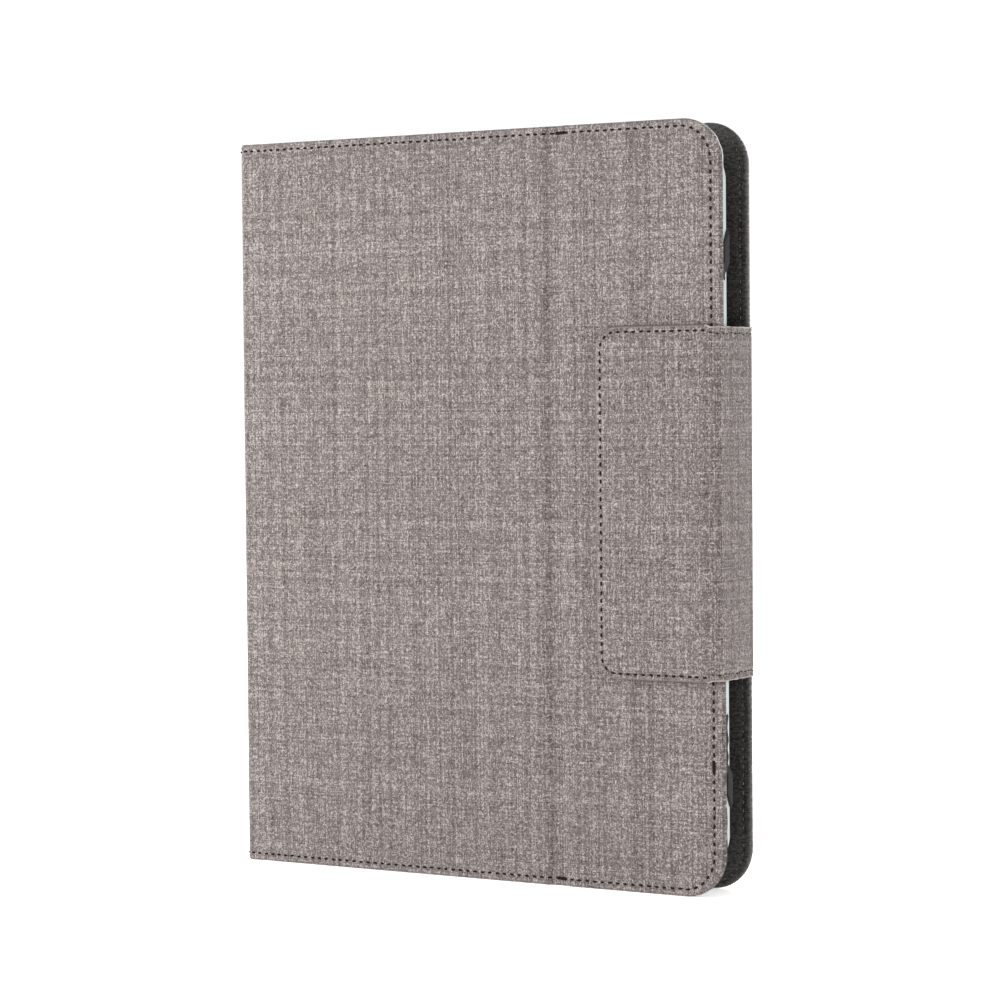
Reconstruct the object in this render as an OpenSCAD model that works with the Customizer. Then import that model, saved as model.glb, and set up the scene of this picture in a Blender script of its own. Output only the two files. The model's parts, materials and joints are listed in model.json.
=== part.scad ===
// Folio keyboard case for a ten-inch tablet, standing upright on the bottom edge of its closed covers.
// +X runs from the spine to the free edge, the front cover faces -Y and +Z is up the long side.
// The origin is the middle of the bottom of the whole closed case.

/* [Covers] */
// Height of the covers, along the spine
cover_h = 262; // [250:1:280]
// Width of a cover, from the spine's outside to the free edge
cover_w = 196; // [190:1:210]
// Thickness of the closed covers, outside to outside
closed_t = 22.4; // [22.4:0.2:26]
// Radius of the two corners on the free edge
corner_r = 15; // [8:1:16]
// Radius of the corners at the spine
spine_corner_r = 1.6; // [1:0.2:3]
// Distance of the front cover's fold from its free edge
crease_from_edge = 64; // [60:1:70]
// Thickness of the linen cloth
cloth_t = 0.7; // [0.5:0.1:0.9]
// Thickness of the stiffening board
board_t = 1.1; // [0.9:0.1:1.4]
// Thickness of the inner lining
lining_t = 0.6; // [0.4:0.1:0.8]

/* [Closing flap] */
// Height of the flap
flap_h = 120; // [100:1:140]
// How far the flap's centre lies above the middle of the covers
flap_rise = 1.8; // [0:0.1:5]
// How far the tongue reaches over the front cover
tongue_reach = 47; // [40:1:52]
// Thickness of the padded tongue
tongue_t = 2.8; // [2.4:0.1:3]
// Thickness of the strip that spans the free edge
gusset_t = 1.2; // [1:0.1:2]
// Thickness of the patch that is sewn to the back
anchor_t = 1.6; // [1.2:0.1:2]
// Width of that patch
anchor_w = 34; // [25:1:45]

/* [Tablet plate] */
// Height of the plate that carries the tablet
plate_h = 244; // [236:1:248]
// Width of the plate
plate_w = 172; // [160:1:176]
// Thickness of the plate
plate_t = 3.8; // [3.4:0.1:4]
// Distance of the plate from the front cover's free edge
plate_inset = 1.9; // [1.6:0.1:4]
// Distance of an upper corner strap from the plate's corner, along an edge
strap_reach_top = 33; // [24:1:36]
// Distance of a lower corner strap from the plate's corner, along an edge
strap_reach_bottom = 26; // [24:1:36]
// Width of the corner strap
strap_w = 8.5; // [6:0.5:10]

/* [Keyboard] */
// Length of the keyboard, up the case
keyboard_l = 246; // [244:1:250]
// Width of the keyboard
keyboard_w = 118; // [118:1:122]
// Thickness of the keyboard
keyboard_t = 6.2; // [6.2:0.1:6.6]
// Distance of the keyboard from the back cover's free edge
keyboard_inset = 10; // [8:1:12]
// Distance from one key to the next in a row
key_pitch = 16.1; // [15.8:0.1:16.3]
// Distance from one row to the next
row_pitch = 16.5; // [16:0.1:16.8]
// Gap between two key caps
key_gap = 2.4; // [2:0.1:3]

/* [Hidden] */
$fn = 48;

gap = 0.4;            // clearance between panels that turn past each other
flap_gap = 0.3;       // clearance between the covers and the flap
wrap = cloth_t + 0.1; // width of the turned cloth rim round a board

// the closed case across its thickness, from the tongue's face to the sewn patch
total_t = tongue_t + flap_gap + closed_t + anchor_t;
total_w = cover_w + flap_gap + gusset_t;
laminate_t = cloth_t + board_t + lining_t;
spine_x = -total_w / 2;
edge_x = spine_x + cover_w;
outer_x = total_w / 2;
tongue_y = -total_t / 2;
front_y = tongue_y + tongue_t + flap_gap;
back_y = front_y + closed_t;
rear_y = total_t / 2;
front_in_y = front_y + laminate_t;
back_in_y = back_y - laminate_t;
fold_room = laminate_t + gap;   // a panel starts this far from the fold beside it
crease_x = edge_x - crease_from_edge;
crease_gap = 0.5;
soft_band = 5;                  // half the width of cloth at the fold that has no board

flap_z = cover_h / 2 + flap_rise - flap_h / 2;
tongue_x = edge_x - tongue_reach;
tongue_end_x = edge_x - gap;

plate_y = front_in_y + 0.4;
plate_x = edge_x - plate_inset - plate_w;
plate_z = (cover_h - plate_h) / 2;
plate_r = 12;
strap_t = 1;

key_top_y = back_in_y - 0.3 - keyboard_t;
deck_y = key_top_y + 1.1;
deck_t = 1.2;
wall = 1.2;
floor_t = 1.2;
keyboard_x = edge_x - keyboard_inset - keyboard_w;
keyboard_z = (cover_h - keyboard_l) / 2;
floor_y = back_in_y - 0.3 - floor_t;
strip_w = 16;                   // the deck's blank strip beside the function keys
keys_x = keyboard_x + strip_w;
function_w = 10;
cap_t = 2;
units = 14.5;                   // length of a row in key pitches
row_z = keyboard_z + (keyboard_l - units * key_pitch) / 2;
side_clear = 0.35;              // gap round a key cap in the deck

cloth = "#9a918e";
lining_grey = "#2b2a29";
greyboard = "#8a8378";
plate_white = "#c9d2d2";
black = "#1b1b1c";
key_black = "#232325";
steel = "silver";

// ---------- shared shapes ----------

// a plate that lies in the X-Z plane with its front at y and thickness t, from a flat outline
module slab(y, t) {
    translate([0, y + t, 0]) rotate([90, 0, 0]) linear_extrude(t) children();
}

// a rectangle with one radius at its left corners and another at its right ones
module outline(x, z, w, h, r_left, r_right) {
    translate([x, z]) {
        translate([r_left, 0]) square([w - r_left - r_right, h]);
        translate([0, r_left]) square([w / 2, h - 2 * r_left]);
        translate([w / 2, r_right]) square([w / 2, h - 2 * r_right]);
        for (c = [r_left, h - r_left]) translate([r_left, c]) circle(r_left);
        for (c = [r_right, h - r_right]) translate([w - r_right, c]) circle(r_right);
    }
}

// the outline of one cover panel between two X positions, shrunk by inset all round
module panel_outline(x0, x1, r_left, r_right, inset = 0) {
    outline(x0 + inset, inset, x1 - x0 - 2 * inset, cover_h - 2 * inset,
        max(r_left - inset, 0.8), max(r_right - inset, 0.8));
}

// the cloth of a panel, turned over the edges of the board and lining; out is the side of its face
module turned_cloth(y, x0, x1, r_left, r_right, out) {
    difference() {
        slab(y, laminate_t) panel_outline(x0, x1, r_left, r_right);
        slab(out < 0 ? y + cloth_t : y - 1, laminate_t - cloth_t + 1)
            panel_outline(x0, x1, r_left, r_right, wrap);
    }
}

// a row of rectangular pockets, each w by h, at the given places
module pockets(y, t, places, w, h) {
    for (p = places) translate([p[0] - w / 2, y, p[1] - h / 2]) cube([w, t, h]);
}

// ---------- back cover ----------

back_x = spine_x + fold_room;
keeper_w = 8;
keeper_h = 24;
magnet_places = [for (x = [keyboard_x + 8, keyboard_x + keyboard_w - 60], z = [cover_h * 0.25, cover_h * 0.75])
    [x, z]];

module back_fabric() {
    color(cloth) turned_cloth(back_in_y, back_x, edge_x, spine_corner_r, corner_r, 1);
}

module back_board() {
    color(greyboard) difference() {
        slab(back_in_y + lining_t, board_t) panel_outline(back_x, edge_x, spine_corner_r, corner_r, wrap + 0.05);
        pockets(back_in_y + lining_t - 1, 1.4, magnet_places, keeper_w + 0.2, keeper_h + 0.2);
    }
}

module back_lining() {
    color(lining_grey)
        slab(back_in_y, lining_t) panel_outline(back_x, edge_x, spine_corner_r, corner_r, wrap + 0.05);
}

module keyboard_keepers() {
    color(steel) pockets(back_in_y + lining_t, 0.4, magnet_places, keeper_w, keeper_h);
}

module flap_anchor() {
    color(cloth) slab(back_y, anchor_t)
        outline(edge_x - anchor_w, flap_z, anchor_w - gap, flap_h, 8, 0.8);
}

// ---------- spine ----------

// a strip that lies in the Y-Z plane, from x to x + t and from y0 to y1
module strip(x, t, y0, y1, z0, h) {
    translate([x, y0, z0]) cube([t, y1 - y0, h]);
}

module spine_fabric() {
    color(cloth) difference() {
        strip(spine_x, laminate_t, front_y, back_y, 0, cover_h);
        strip(spine_x + cloth_t, laminate_t, front_y + wrap, back_y - wrap, wrap, cover_h - 2 * wrap);
    }
}

module spine_board() {
    color(greyboard) strip(spine_x + cloth_t, board_t, front_y + 3, back_y - 3, 2, cover_h - 4);
}

module spine_lining() {
    color(lining_grey) strip(spine_x + cloth_t + board_t, lining_t, front_y + 1, back_y - 1, 1, cover_h - 2);
}

// ---------- front cover, spine side ----------

inner_x0 = spine_x + fold_room;
inner_x1 = crease_x - crease_gap / 2;

module front_inner_fabric() {
    color(cloth) turned_cloth(front_y, inner_x0, inner_x1, spine_corner_r, 0.8, -1);
}

module front_inner_board() {
    color(greyboard) slab(front_y + cloth_t, board_t)
        outline(inner_x0 + wrap + 0.05, wrap + 0.05, inner_x1 - inner_x0 - wrap - soft_band,
            cover_h - 2 * wrap - 0.1, 1, 0.8);
}

module front_inner_lining() {
    color(lining_grey)
        slab(front_in_y - lining_t, lining_t) panel_outline(inner_x0, inner_x1, spine_corner_r, 0.8, wrap + 0.05);
}

// ---------- front cover, free-edge side ----------

outer_x0 = crease_x + crease_gap / 2;
keeper_plate_w = 16;
keeper_plate_h = 90;
keeper_plate_x = tongue_x + 8;

module front_outer_fabric() {
    color(cloth) turned_cloth(front_y, outer_x0, edge_x, 0.8, corner_r, -1);
}

module front_outer_board() {
    color(greyboard) difference() {
        slab(front_y + cloth_t, board_t)
            outline(outer_x0 + soft_band, wrap + 0.05, crease_from_edge - crease_gap / 2 - soft_band - wrap - 0.05,
                cover_h - 2 * wrap - 0.1, 0.8, corner_r - wrap - 0.05);
        translate([keeper_plate_x - 0.1, front_y, flap_z + (flap_h - keeper_plate_h) / 2 - 0.1])
            cube([keeper_plate_w + 0.2, cloth_t + 0.5, keeper_plate_h + 0.2]);
    }
}

module front_outer_lining() {
    color(lining_grey)
        slab(front_in_y - lining_t, lining_t) panel_outline(outer_x0, edge_x, 0.8, corner_r, wrap + 0.05);
}

module flap_keeper() {
    color(steel) translate([keeper_plate_x, front_y + cloth_t, flap_z + (flap_h - keeper_plate_h) / 2])
        cube([keeper_plate_w, 0.5, keeper_plate_h]);
}

// ---------- tablet plate ----------

module plate_outline(grow = 0) {
    outline(plate_x - grow, plate_z - grow, plate_w + 2 * grow, plate_h + 2 * grow,
        plate_r + grow, plate_r + grow);
}

// a straight band across one corner's two edges; sx and sz are -1 or 1 towards that corner
module band_at(sx, sz) {
    corner = [sx < 0 ? plate_x : plate_x + plate_w, sz < 0 ? plate_z : plate_z + plate_h];
    reach = sz < 0 ? strap_reach_bottom : strap_reach_top;
    translate(corner) rotate(sx * sz > 0 ? -45 : 45)
        translate([-40, -sz * reach / sqrt(2) - strap_w / 2]) square([80, strap_w]);
}

module plate_pad() {
    color(black) slab(front_in_y, 0.4) outline(crease_x + 8, plate_z + 46, edge_x - 16 - crease_x, plate_h - 92, 6, 6);
}

module tablet_plate() {
    color(plate_white) difference() {
        slab(plate_y, plate_t) plate_outline();
        slab(plate_y + plate_t - 0.4, 1) plate_outline(-5);
        for (sx = [-1, 1], sz = [-1, 1]) slab(plate_y - 1, 1 + strap_t) band_at(sx, sz);
    }
}

module plate_liner() {
    color(black) slab(plate_y + plate_t - 0.4, 0.4) difference() {
        plate_outline(-5.05);
        for (sx = [-1, 1], sz = [-1, 1]) band_at(sx, sz);
    }
}

// an elastic loop round one corner: over the tablet side, round both edges and through the groove behind
module corner_strap(sx, sz) {
    color(black) difference() {
        slab(plate_y + 0.05, plate_t + strap_t - 0.05) intersection() {
            band_at(sx, sz);
            plate_outline(strap_t);
        }
        slab(plate_y + strap_t, plate_t - strap_t) plate_outline();
    }
}

module strap_spine_bottom() { corner_strap(-1, -1); }
module strap_spine_top() { corner_strap(-1, 1); }
module strap_edge_bottom() { corner_strap(1, -1); }
module strap_edge_top() { corner_strap(1, 1); }

// ---------- closing flap ----------

module gusset_fabric() {
    color(cloth) difference() {
        strip(edge_x + flap_gap, gusset_t, tongue_y, rear_y, flap_z, flap_h);
        strip(edge_x + flap_gap - 1, 1 + lining_t, tongue_y + 1, rear_y - 1, flap_z + 1, flap_h - 2);
    }
}

module gusset_lining() {
    color(lining_grey) strip(edge_x + flap_gap, lining_t, tongue_y + 1.1, rear_y - 1.1, flap_z + 1.1, flap_h - 2.2);
}

module tongue_outline(inset = 0) {
    outline(tongue_x + inset, flap_z + inset, tongue_end_x - tongue_x - 2 * inset, flap_h - 2 * inset,
        8 - inset, 0.8);
}

tongue_magnet_places = [for (k = [-1.5:1:1.5]) [keeper_plate_x + keeper_plate_w / 2, flap_z + flap_h / 2 + 22 * k]];

module tongue_fabric() {
    color(cloth) difference() {
        slab(tongue_y, tongue_t) tongue_outline();
        slab(tongue_y + cloth_t, tongue_t) tongue_outline(wrap);
    }
}

module tongue_board() {
    color(greyboard) difference() {
        slab(tongue_y + cloth_t, tongue_t - cloth_t - lining_t) tongue_outline(wrap + 0.05);
        pockets(tongue_y + cloth_t, tongue_t, tongue_magnet_places, 10.2, 16.2);
    }
}

module tongue_lining() {
    color(lining_grey) slab(tongue_y + tongue_t - lining_t, lining_t) tongue_outline(wrap + 0.05);
}

module tongue_magnets() {
    color(steel) pockets(tongue_y + cloth_t, tongue_t - cloth_t - lining_t, tongue_magnet_places, 10, 16);
}

// ---------- keyboard case ----------

screw_places = [
    for (z = [keyboard_z + 6, cover_h / 2 + 4, keyboard_z + keyboard_l - 14]) [keyboard_x + 4.4, z],
    for (z = [keyboard_z + 3.6, keyboard_z + keyboard_l - 3.6]) [keyboard_x + keyboard_w - 3.6, z]
];
foot_places = [for (x = [keyboard_x + 12, keyboard_x + keyboard_w - 12], z = [keyboard_z + 16, keyboard_z + keyboard_l - 16])
    [x, z]];
end_z = keyboard_z + keyboard_l;
socket_x = keyboard_x + 8;
switch_x = keyboard_x + 28;

module keyboard_outline(inset = 0) {
    outline(keyboard_x + inset, keyboard_z + inset, keyboard_w - 2 * inset, keyboard_l - 2 * inset,
        5 - inset, 5 - inset);
}

// a round rod along Y
module rod(p, y, r, t) {
    translate([p[0], y, p[1]]) rotate([-90, 0, 0]) cylinder(r = r, h = t);
}

module keyboard_base() {
    color(black) difference() {
        slab(deck_y + deck_t, floor_y + floor_t - deck_y - deck_t) keyboard_outline();
        slab(deck_y, floor_y - deck_y) keyboard_outline(wall);
        pockets(floor_y - 1, 1.8, magnet_places, keeper_w + 0.2, keeper_h + 0.2);
        for (p = foot_places) rod(p, floor_y + 0.6, 4.05, 2);
        for (p = screw_places) {
            rod(p, floor_y - 1, 0.75, 4);
            rod(p, floor_y + 0.6, 1.6, 2);
        }
        translate([socket_x - 4.6, deck_y + deck_t + 0.1, end_z - 3]) cube([9.2, 2.5, 6]);
        translate([switch_x - 4, deck_y + deck_t + 0.9, end_z - 3]) cube([8, 1.6, 6]);
    }
}

// the hollow of one key: its place along the row and across the rows, and its size in units
function cap_x(row) = keys_x + function_w + (row - 1) * row_pitch;

module cap_outline(z_unit, length_unit, x0, w, grow) {
    translate([x0 + key_gap / 2 - grow, row_z + z_unit * key_pitch + key_gap / 2 - grow])
        square([w - key_gap + 2 * grow, length_unit * key_pitch - key_gap + 2 * grow]);
}

// caps in one row, from the key at first_unit on, each one unit long
module caps_2d(row, first_unit, count, length_unit = 1, grow = 0) {
    for (k = [0:count - 1])
        cap_outline(first_unit + k * length_unit, length_unit, cap_x(row), row_pitch, grow);
}

module function_caps(grow = 0) {
    for (k = [0:14]) cap_outline(k * units / 15, units / 15, keys_x, function_w, grow);
}

module modifier_caps(grow = 0) {
    caps_2d(5, 0, 1, 1.25, grow);
    caps_2d(5, 1.25, 2, 1, grow);
    caps_2d(5, 3.25, 1, 1.25, grow);
    caps_2d(5, 9.5, 2, 1, grow);
}

module arrow_caps(grow = 0) {
    caps_2d(5, 11.5, 1, 1, grow);
    caps_2d(5, 13.5, 1, 1, grow);
    half = row_pitch / 2;
    for (k = [0, 1]) cap_outline(12.5, 1, cap_x(5) + k * (half - 0.2), half + 0.2, grow);
}

// every cap, grown by the clearance that the deck leaves round it
module all_caps(grow) {
    function_caps(grow);
    caps_2d(1, 0, 13, 1, grow);
    caps_2d(1, 13, 1, 1.5, grow);
    caps_2d(2, 0, 1, 1.5, grow);
    caps_2d(2, 1.5, 13, 1, grow);
    caps_2d(3, 0, 1, 1.75, grow);
    caps_2d(3, 1.75, 11, 1, grow);
    caps_2d(3, 12.75, 1, 1.75, grow);
    caps_2d(4, 0, 1, 2.25, grow);
    caps_2d(4, 2.25, 10, 1, grow);
    caps_2d(4, 12.25, 1, 2.25, grow);
    modifier_caps(grow);
    arrow_caps(grow);
    caps_2d(5, 4.5, 1, 5, grow);
}

light_places = [for (k = [0:3]) [keyboard_x + 8, end_z - 62 - 8 * k]];
pair_place = [keyboard_x + 8, end_z - 44];

module keyboard_deck() {
    color(black) difference() {
        union() {
            slab(deck_y, deck_t) keyboard_outline();
            for (p = screw_places) rod(p, deck_y + deck_t - 0.1, 1.5, floor_y - deck_y - deck_t + 0.1);
        }
        slab(deck_y - 1, deck_t + 1.5) all_caps(side_clear);
        for (p = screw_places) rod(p, deck_y + 0.8, 0.75, 6);
        for (p = light_places) rod(p, deck_y - 1, 0.85, deck_t + 2);
        rod(pair_place, deck_y - 1, 2.1, deck_t + 2);
    }
}

module keyboard_screws() {
    color(steel) for (p = screw_places) {
        rod(p, deck_y + 1.2, 0.7, floor_y + 0.6 - deck_y - 1.2);
        rod(p, floor_y + 0.6, 1.5, 0.5);
    }
}

module dome_sheet() {
    color("#4a4c4e") slab(floor_y - 1, 0.5)
        translate([keys_x, row_z]) square([function_w + 5 * row_pitch - 0.4, units * key_pitch]);
}

module circuit_board() {
    color("#1f5a3a") difference() {
        translate([keyboard_x + 2, floor_y - 1, cover_h / 2 + 10]) cube([13, 0.8, end_z - cover_h / 2 - 19]);
        for (p = screw_places) rod(p, floor_y - 2, 1.8, 4);
    }
}

module bluetooth_module() {
    color("#c0c2c4") translate([keyboard_x + 3, floor_y - 2.2, cover_h / 2 + 20]) cube([10, 1.2, 13]);
}

module battery() {
    color("#b9bcc0") translate([keyboard_x + 2.5, deck_y + deck_t + 0.2, keyboard_z + 12]) cube([12, 2.3, 92]);
}

module charging_socket() {
    color(steel) difference() {
        translate([socket_x - 4.5, deck_y + deck_t + 0.2, end_z - 8]) cube([9, 2.3, 7.9]);
        translate([socket_x - 3.8, deck_y + deck_t + 0.6, end_z - 6]) cube([7.6, 1.5, 7]);
    }
}

module status_lights() {
    color("#d8dcd8") for (p = light_places) rod(p, deck_y, 0.8, deck_t + 0.3);
}

module keyboard_magnets() {
    color(steel) pockets(floor_y, 0.8, magnet_places, keeper_w, keeper_h);
}

module keyboard_feet() {
    color("#2a2a2a") for (p = foot_places) rod(p, floor_y + 0.6, 4, 0.6);
}

// ---------- keys ----------

module caps() {
    color(key_black) slab(key_top_y, cap_t) children();
}

module function_row_keys() { caps() function_caps(); }
module number_row_keys() { caps() caps_2d(1, 0, 13); }
module upper_letter_keys() { caps() caps_2d(2, 1.5, 13); }
module home_letter_keys() { caps() caps_2d(3, 1.75, 11); }
module lower_letter_keys() { caps() caps_2d(4, 2.25, 10); }
module bottom_row_keys() { caps() modifier_caps(); }
module arrow_keys() { caps() arrow_caps(); }
module space_bar() { caps() caps_2d(5, 4.5, 1, 5); }
module enter_key() { caps() caps_2d(3, 12.75, 1, 1.75); }
module backspace_key() { caps() caps_2d(1, 13, 1, 1.5); }
module left_shift_key() { caps() caps_2d(4, 0, 1, 2.25); }
module right_shift_key() { caps() caps_2d(4, 12.25, 1, 2.25); }
module tab_key() { caps() caps_2d(2, 0, 1, 1.5); }
module caps_key() { caps() caps_2d(3, 0, 1, 1.75); }

// ---------- controls ----------

module power_switch() {
    color("#3a3a3c") translate([switch_x - 3.7, deck_y + deck_t + 1.1, end_z - 2.6]) {
        cube([5.4, 1.2, 1.2]);
        translate([1.4, 0.1, 0.5]) cube([2.6, 1, 2.6]);
    }
}

module pair_button() {
    color("#3a3a3c") rod(pair_place, deck_y - 0.7, 1.9, 1.7);
}

back_fabric();
back_board();
back_lining();
keyboard_keepers();
flap_anchor();
spine_fabric();
spine_board();
spine_lining();
front_inner_fabric();
front_inner_board();
front_inner_lining();
front_outer_fabric();
front_outer_board();
front_outer_lining();
flap_keeper();
plate_pad();
tablet_plate();
plate_liner();
strap_spine_bottom();
strap_spine_top();
strap_edge_bottom();
strap_edge_top();
gusset_fabric();
gusset_lining();
tongue_fabric();
tongue_board();
tongue_lining();
tongue_magnets();
keyboard_base();
keyboard_deck();
dome_sheet();
circuit_board();
bluetooth_module();
battery();
charging_socket();
status_lights();
keyboard_magnets();
keyboard_feet();
keyboard_screws();
function_row_keys();
number_row_keys();
upper_letter_keys();
home_letter_keys();
lower_letter_keys();
bottom_row_keys();
arrow_keys();
space_bar();
enter_key();
backspace_key();
left_shift_key();
right_shift_key();
tab_key();
caps_key();
power_switch();
pair_button();
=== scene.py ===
"""A cloth folio keyboard case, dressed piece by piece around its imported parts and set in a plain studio."""

import bisect
import json
import logging
import math
import random
from dataclasses import dataclass
from enum import Enum
from typing import Callable, Iterable, Optional, Sequence

import bmesh
import bpy
from mathutils import Matrix, Vector


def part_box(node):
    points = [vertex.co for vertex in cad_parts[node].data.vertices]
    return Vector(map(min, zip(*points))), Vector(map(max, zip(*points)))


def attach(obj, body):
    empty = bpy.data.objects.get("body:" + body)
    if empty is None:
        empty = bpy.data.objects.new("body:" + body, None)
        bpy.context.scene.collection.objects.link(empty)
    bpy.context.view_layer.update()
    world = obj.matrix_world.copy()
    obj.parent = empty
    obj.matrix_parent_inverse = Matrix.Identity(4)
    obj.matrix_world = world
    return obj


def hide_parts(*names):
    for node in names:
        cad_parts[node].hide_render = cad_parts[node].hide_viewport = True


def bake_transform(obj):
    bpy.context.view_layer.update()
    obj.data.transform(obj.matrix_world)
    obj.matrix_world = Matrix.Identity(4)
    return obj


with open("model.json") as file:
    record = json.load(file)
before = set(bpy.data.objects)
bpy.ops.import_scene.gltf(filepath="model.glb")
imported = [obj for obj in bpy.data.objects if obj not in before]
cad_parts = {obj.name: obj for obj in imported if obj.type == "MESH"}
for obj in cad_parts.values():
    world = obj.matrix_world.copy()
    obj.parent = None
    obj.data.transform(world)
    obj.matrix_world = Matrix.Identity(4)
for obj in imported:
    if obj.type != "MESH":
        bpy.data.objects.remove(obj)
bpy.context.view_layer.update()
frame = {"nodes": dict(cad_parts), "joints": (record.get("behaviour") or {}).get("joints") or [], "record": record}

LOG = logging.getLogger("folio")
MM = 0.001
WEAVE_MAP = "cloth_map"
WELD_M = 2e-6                      # points closer than this become one
HALF_FOLD = 0.785                  # half the length of a quarter turn of radius 1

Point2 = tuple[float, float]
Point3 = tuple[float, float, float]
Colour = tuple[float, float, float, float]
Walk = Callable[[float], tuple[Vector, Vector, Vector]]


# ---------------------------------------------------------------- small helpers


def smooth(x: float, low: float, high: float) -> float:
    """Eased step from 0 at low to 1 at high."""
    t = min(max((x - low) / (high - low), 0.0), 1.0)
    return t * t * (3 - 2 * t)


def srgb(code: str) -> Colour:
    """Turns an sRGB hex value into the linear colour that shaders use.

    Args:
        code: six hex digits with or without a leading hash.

    Returns:
        Linear red, green and blue, and an alpha of 1.
    """
    digits = code.lstrip("#")
    values = [int(digits[k:k + 2], 16) / 255 for k in (0, 2, 4)]
    linear = [v / 12.92 if v <= 0.04045 else ((v + 0.055) / 1.055) ** 2.4 for v in values]
    return (linear[0], linear[1], linear[2], 1.0)


def box_mm(node: str) -> tuple[Vector, Vector]:
    """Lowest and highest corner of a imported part, in millimetres."""
    low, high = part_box(node)
    return low / MM, high / MM


def hinge_mm(name: str) -> Vector:
    """A point on a hinge's axis, in millimetres."""
    joint = next(j for j in frame["joints"] if j["name"] == name)
    return Vector(joint["pos_m"]) / MM


def body_of(node: str) -> str:
    """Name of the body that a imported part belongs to."""
    bodies = frame["record"]["behaviour"]["bodies"]
    return next(body for body, nodes in bodies.items() if node in nodes)


# ---------------------------------------------------------------- meshes


class MeshDraft:
    """Points in millimetres, faces and flat cloth coordinates, gathered before they become an object."""

    def __init__(self) -> None:
        self.points: list[Point3] = []
        self.cloth: list[Point2] = []
        self.faces: list[tuple[int, ...]] = []

    def add(self, point: Sequence[float], cloth: Point2 = (0.0, 0.0)) -> int:
        """Adds one point.

        Args:
            point: its place, in millimetres.
            cloth: its place on the flat cloth, in millimetres.

        Returns:
            The point's number.
        """
        self.points.append((point[0], point[1], point[2]))
        self.cloth.append(cloth)
        return len(self.points) - 1

    def strip(self, a: Sequence[int], b: Sequence[int], closed: bool = False) -> None:
        """Joins two rows of points with quads.

        Args:
            a: numbers of the first row's points.
            b: numbers of the second row's points.
            closed: whether the rows are rings.
        """
        last = len(a) if closed else len(a) - 1
        for k in range(last):
            n = (k + 1) % len(a)
            self.faces.append((a[k], a[n], b[n], b[k]))

    def skin(self, rows: Sequence[Sequence[int]]) -> None:
        """Joins rings of points one after another and closes both ends."""
        for a, b in zip(rows, rows[1:]):
            self.strip(a, b, closed=True)
        self.faces.append(tuple(reversed(rows[0])))
        self.faces.append(tuple(rows[-1]))

    def build(self, name: str, material: bpy.types.Material, crease_deg: float = 38.0) -> bpy.types.Object:
        """Makes the object, with welded points, outward faces and smooth shading.

        Args:
            name: the piece's name.
            material: its finish.
            crease_deg: edges sharper than this stay crisp.

        Returns:
            The new object, in metres, in the row frame.
        """
        mesh = bpy.data.meshes.new(name)
        mesh.from_pydata([Vector(p) * MM for p in self.points], [], self.faces)
        layer = mesh.uv_layers.new(name=WEAVE_MAP)
        for loop in mesh.loops:
            u, v = self.cloth[loop.vertex_index]
            layer.data[loop.index].uv = (u * MM, v * MM)
        work = bmesh.new()
        work.from_mesh(mesh)
        bmesh.ops.remove_doubles(work, verts=work.verts, dist=WELD_M)
        bmesh.ops.recalc_face_normals(work, faces=work.faces)
        work.to_mesh(mesh)
        work.free()
        mesh.shade_smooth()
        mesh.set_sharp_from_angle(angle=math.radians(crease_deg))
        mesh.materials.append(material)
        piece = bpy.data.objects.new(name, mesh)
        bpy.context.scene.collection.objects.link(piece)
        return piece


class FoldPath:
    """Outer face of folded cloth seen from above: straight runs joined by round folds."""

    def __init__(self, corners: Sequence[Point2], radii: Sequence[float]) -> None:
        """Works out the runs and folds.

        Args:
            corners: the path's first point, its fold corners and its last point, in millimetres.
            radii: radius of each fold.
        """
        self.runs: list[tuple[float, float, Callable[[float], tuple[float, float, float, float]]]] = []
        self.fold_s: list[float] = []
        self.length = 0.0
        here = Vector(corners[0])
        for k in range(1, len(corners)):
            goal = Vector(corners[k])
            way = (goal - here).normalized()
            last = k == len(corners) - 1
            stop = goal if last else goal - way * radii[k - 1]
            self._straight(here, way, (stop - here).length)
            if last:
                break
            after = (Vector(corners[k + 1]) - goal).normalized()
            self._fold(stop, way, radii[k - 1])
            here = goal + after * radii[k - 1]

    def _straight(self, start: Vector, way: Vector, length: float) -> None:
        """Adds a straight run."""
        def at(u: float) -> tuple[float, float, float, float]:
            """Place and inward direction at u along the run."""
            spot = start + way * u
            return spot.x, spot.y, -way.y, way.x
        self.runs.append((self.length, self.length + length, at))
        self.length += length

    def _fold(self, start: Vector, way: Vector, radius: float) -> None:
        """Adds a quarter turn to the left."""
        inward = Vector((-way.y, way.x))
        centre = start + inward * radius

        def at(u: float) -> tuple[float, float, float, float]:
            """Place and inward direction at u along the fold."""
            turn = u / radius
            out = way * math.sin(turn) - inward * math.cos(turn)
            spot = centre + out * radius
            return spot.x, spot.y, -out.x, -out.y
        length = radius * math.pi / 2
        self.fold_s.append(self.length + length / 2)
        self.runs.append((self.length, self.length + length, at))
        self.length += length

    def point(self, s: float, z: float, depth: float) -> Point3:
        """Place of a point of the cloth.

        Args:
            s: distance along the path.
            z: height.
            depth: distance inward from the outer face.

        Returns:
            The point in millimetres.
        """
        s = min(max(s, 0.0), self.length)
        for low, high, at in self.runs:
            if s <= high or high >= self.length:
                x, y, nx, ny = at(s - low)
                return x + nx * depth, y + ny * depth, z
        raise ValueError("empty path")


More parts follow.
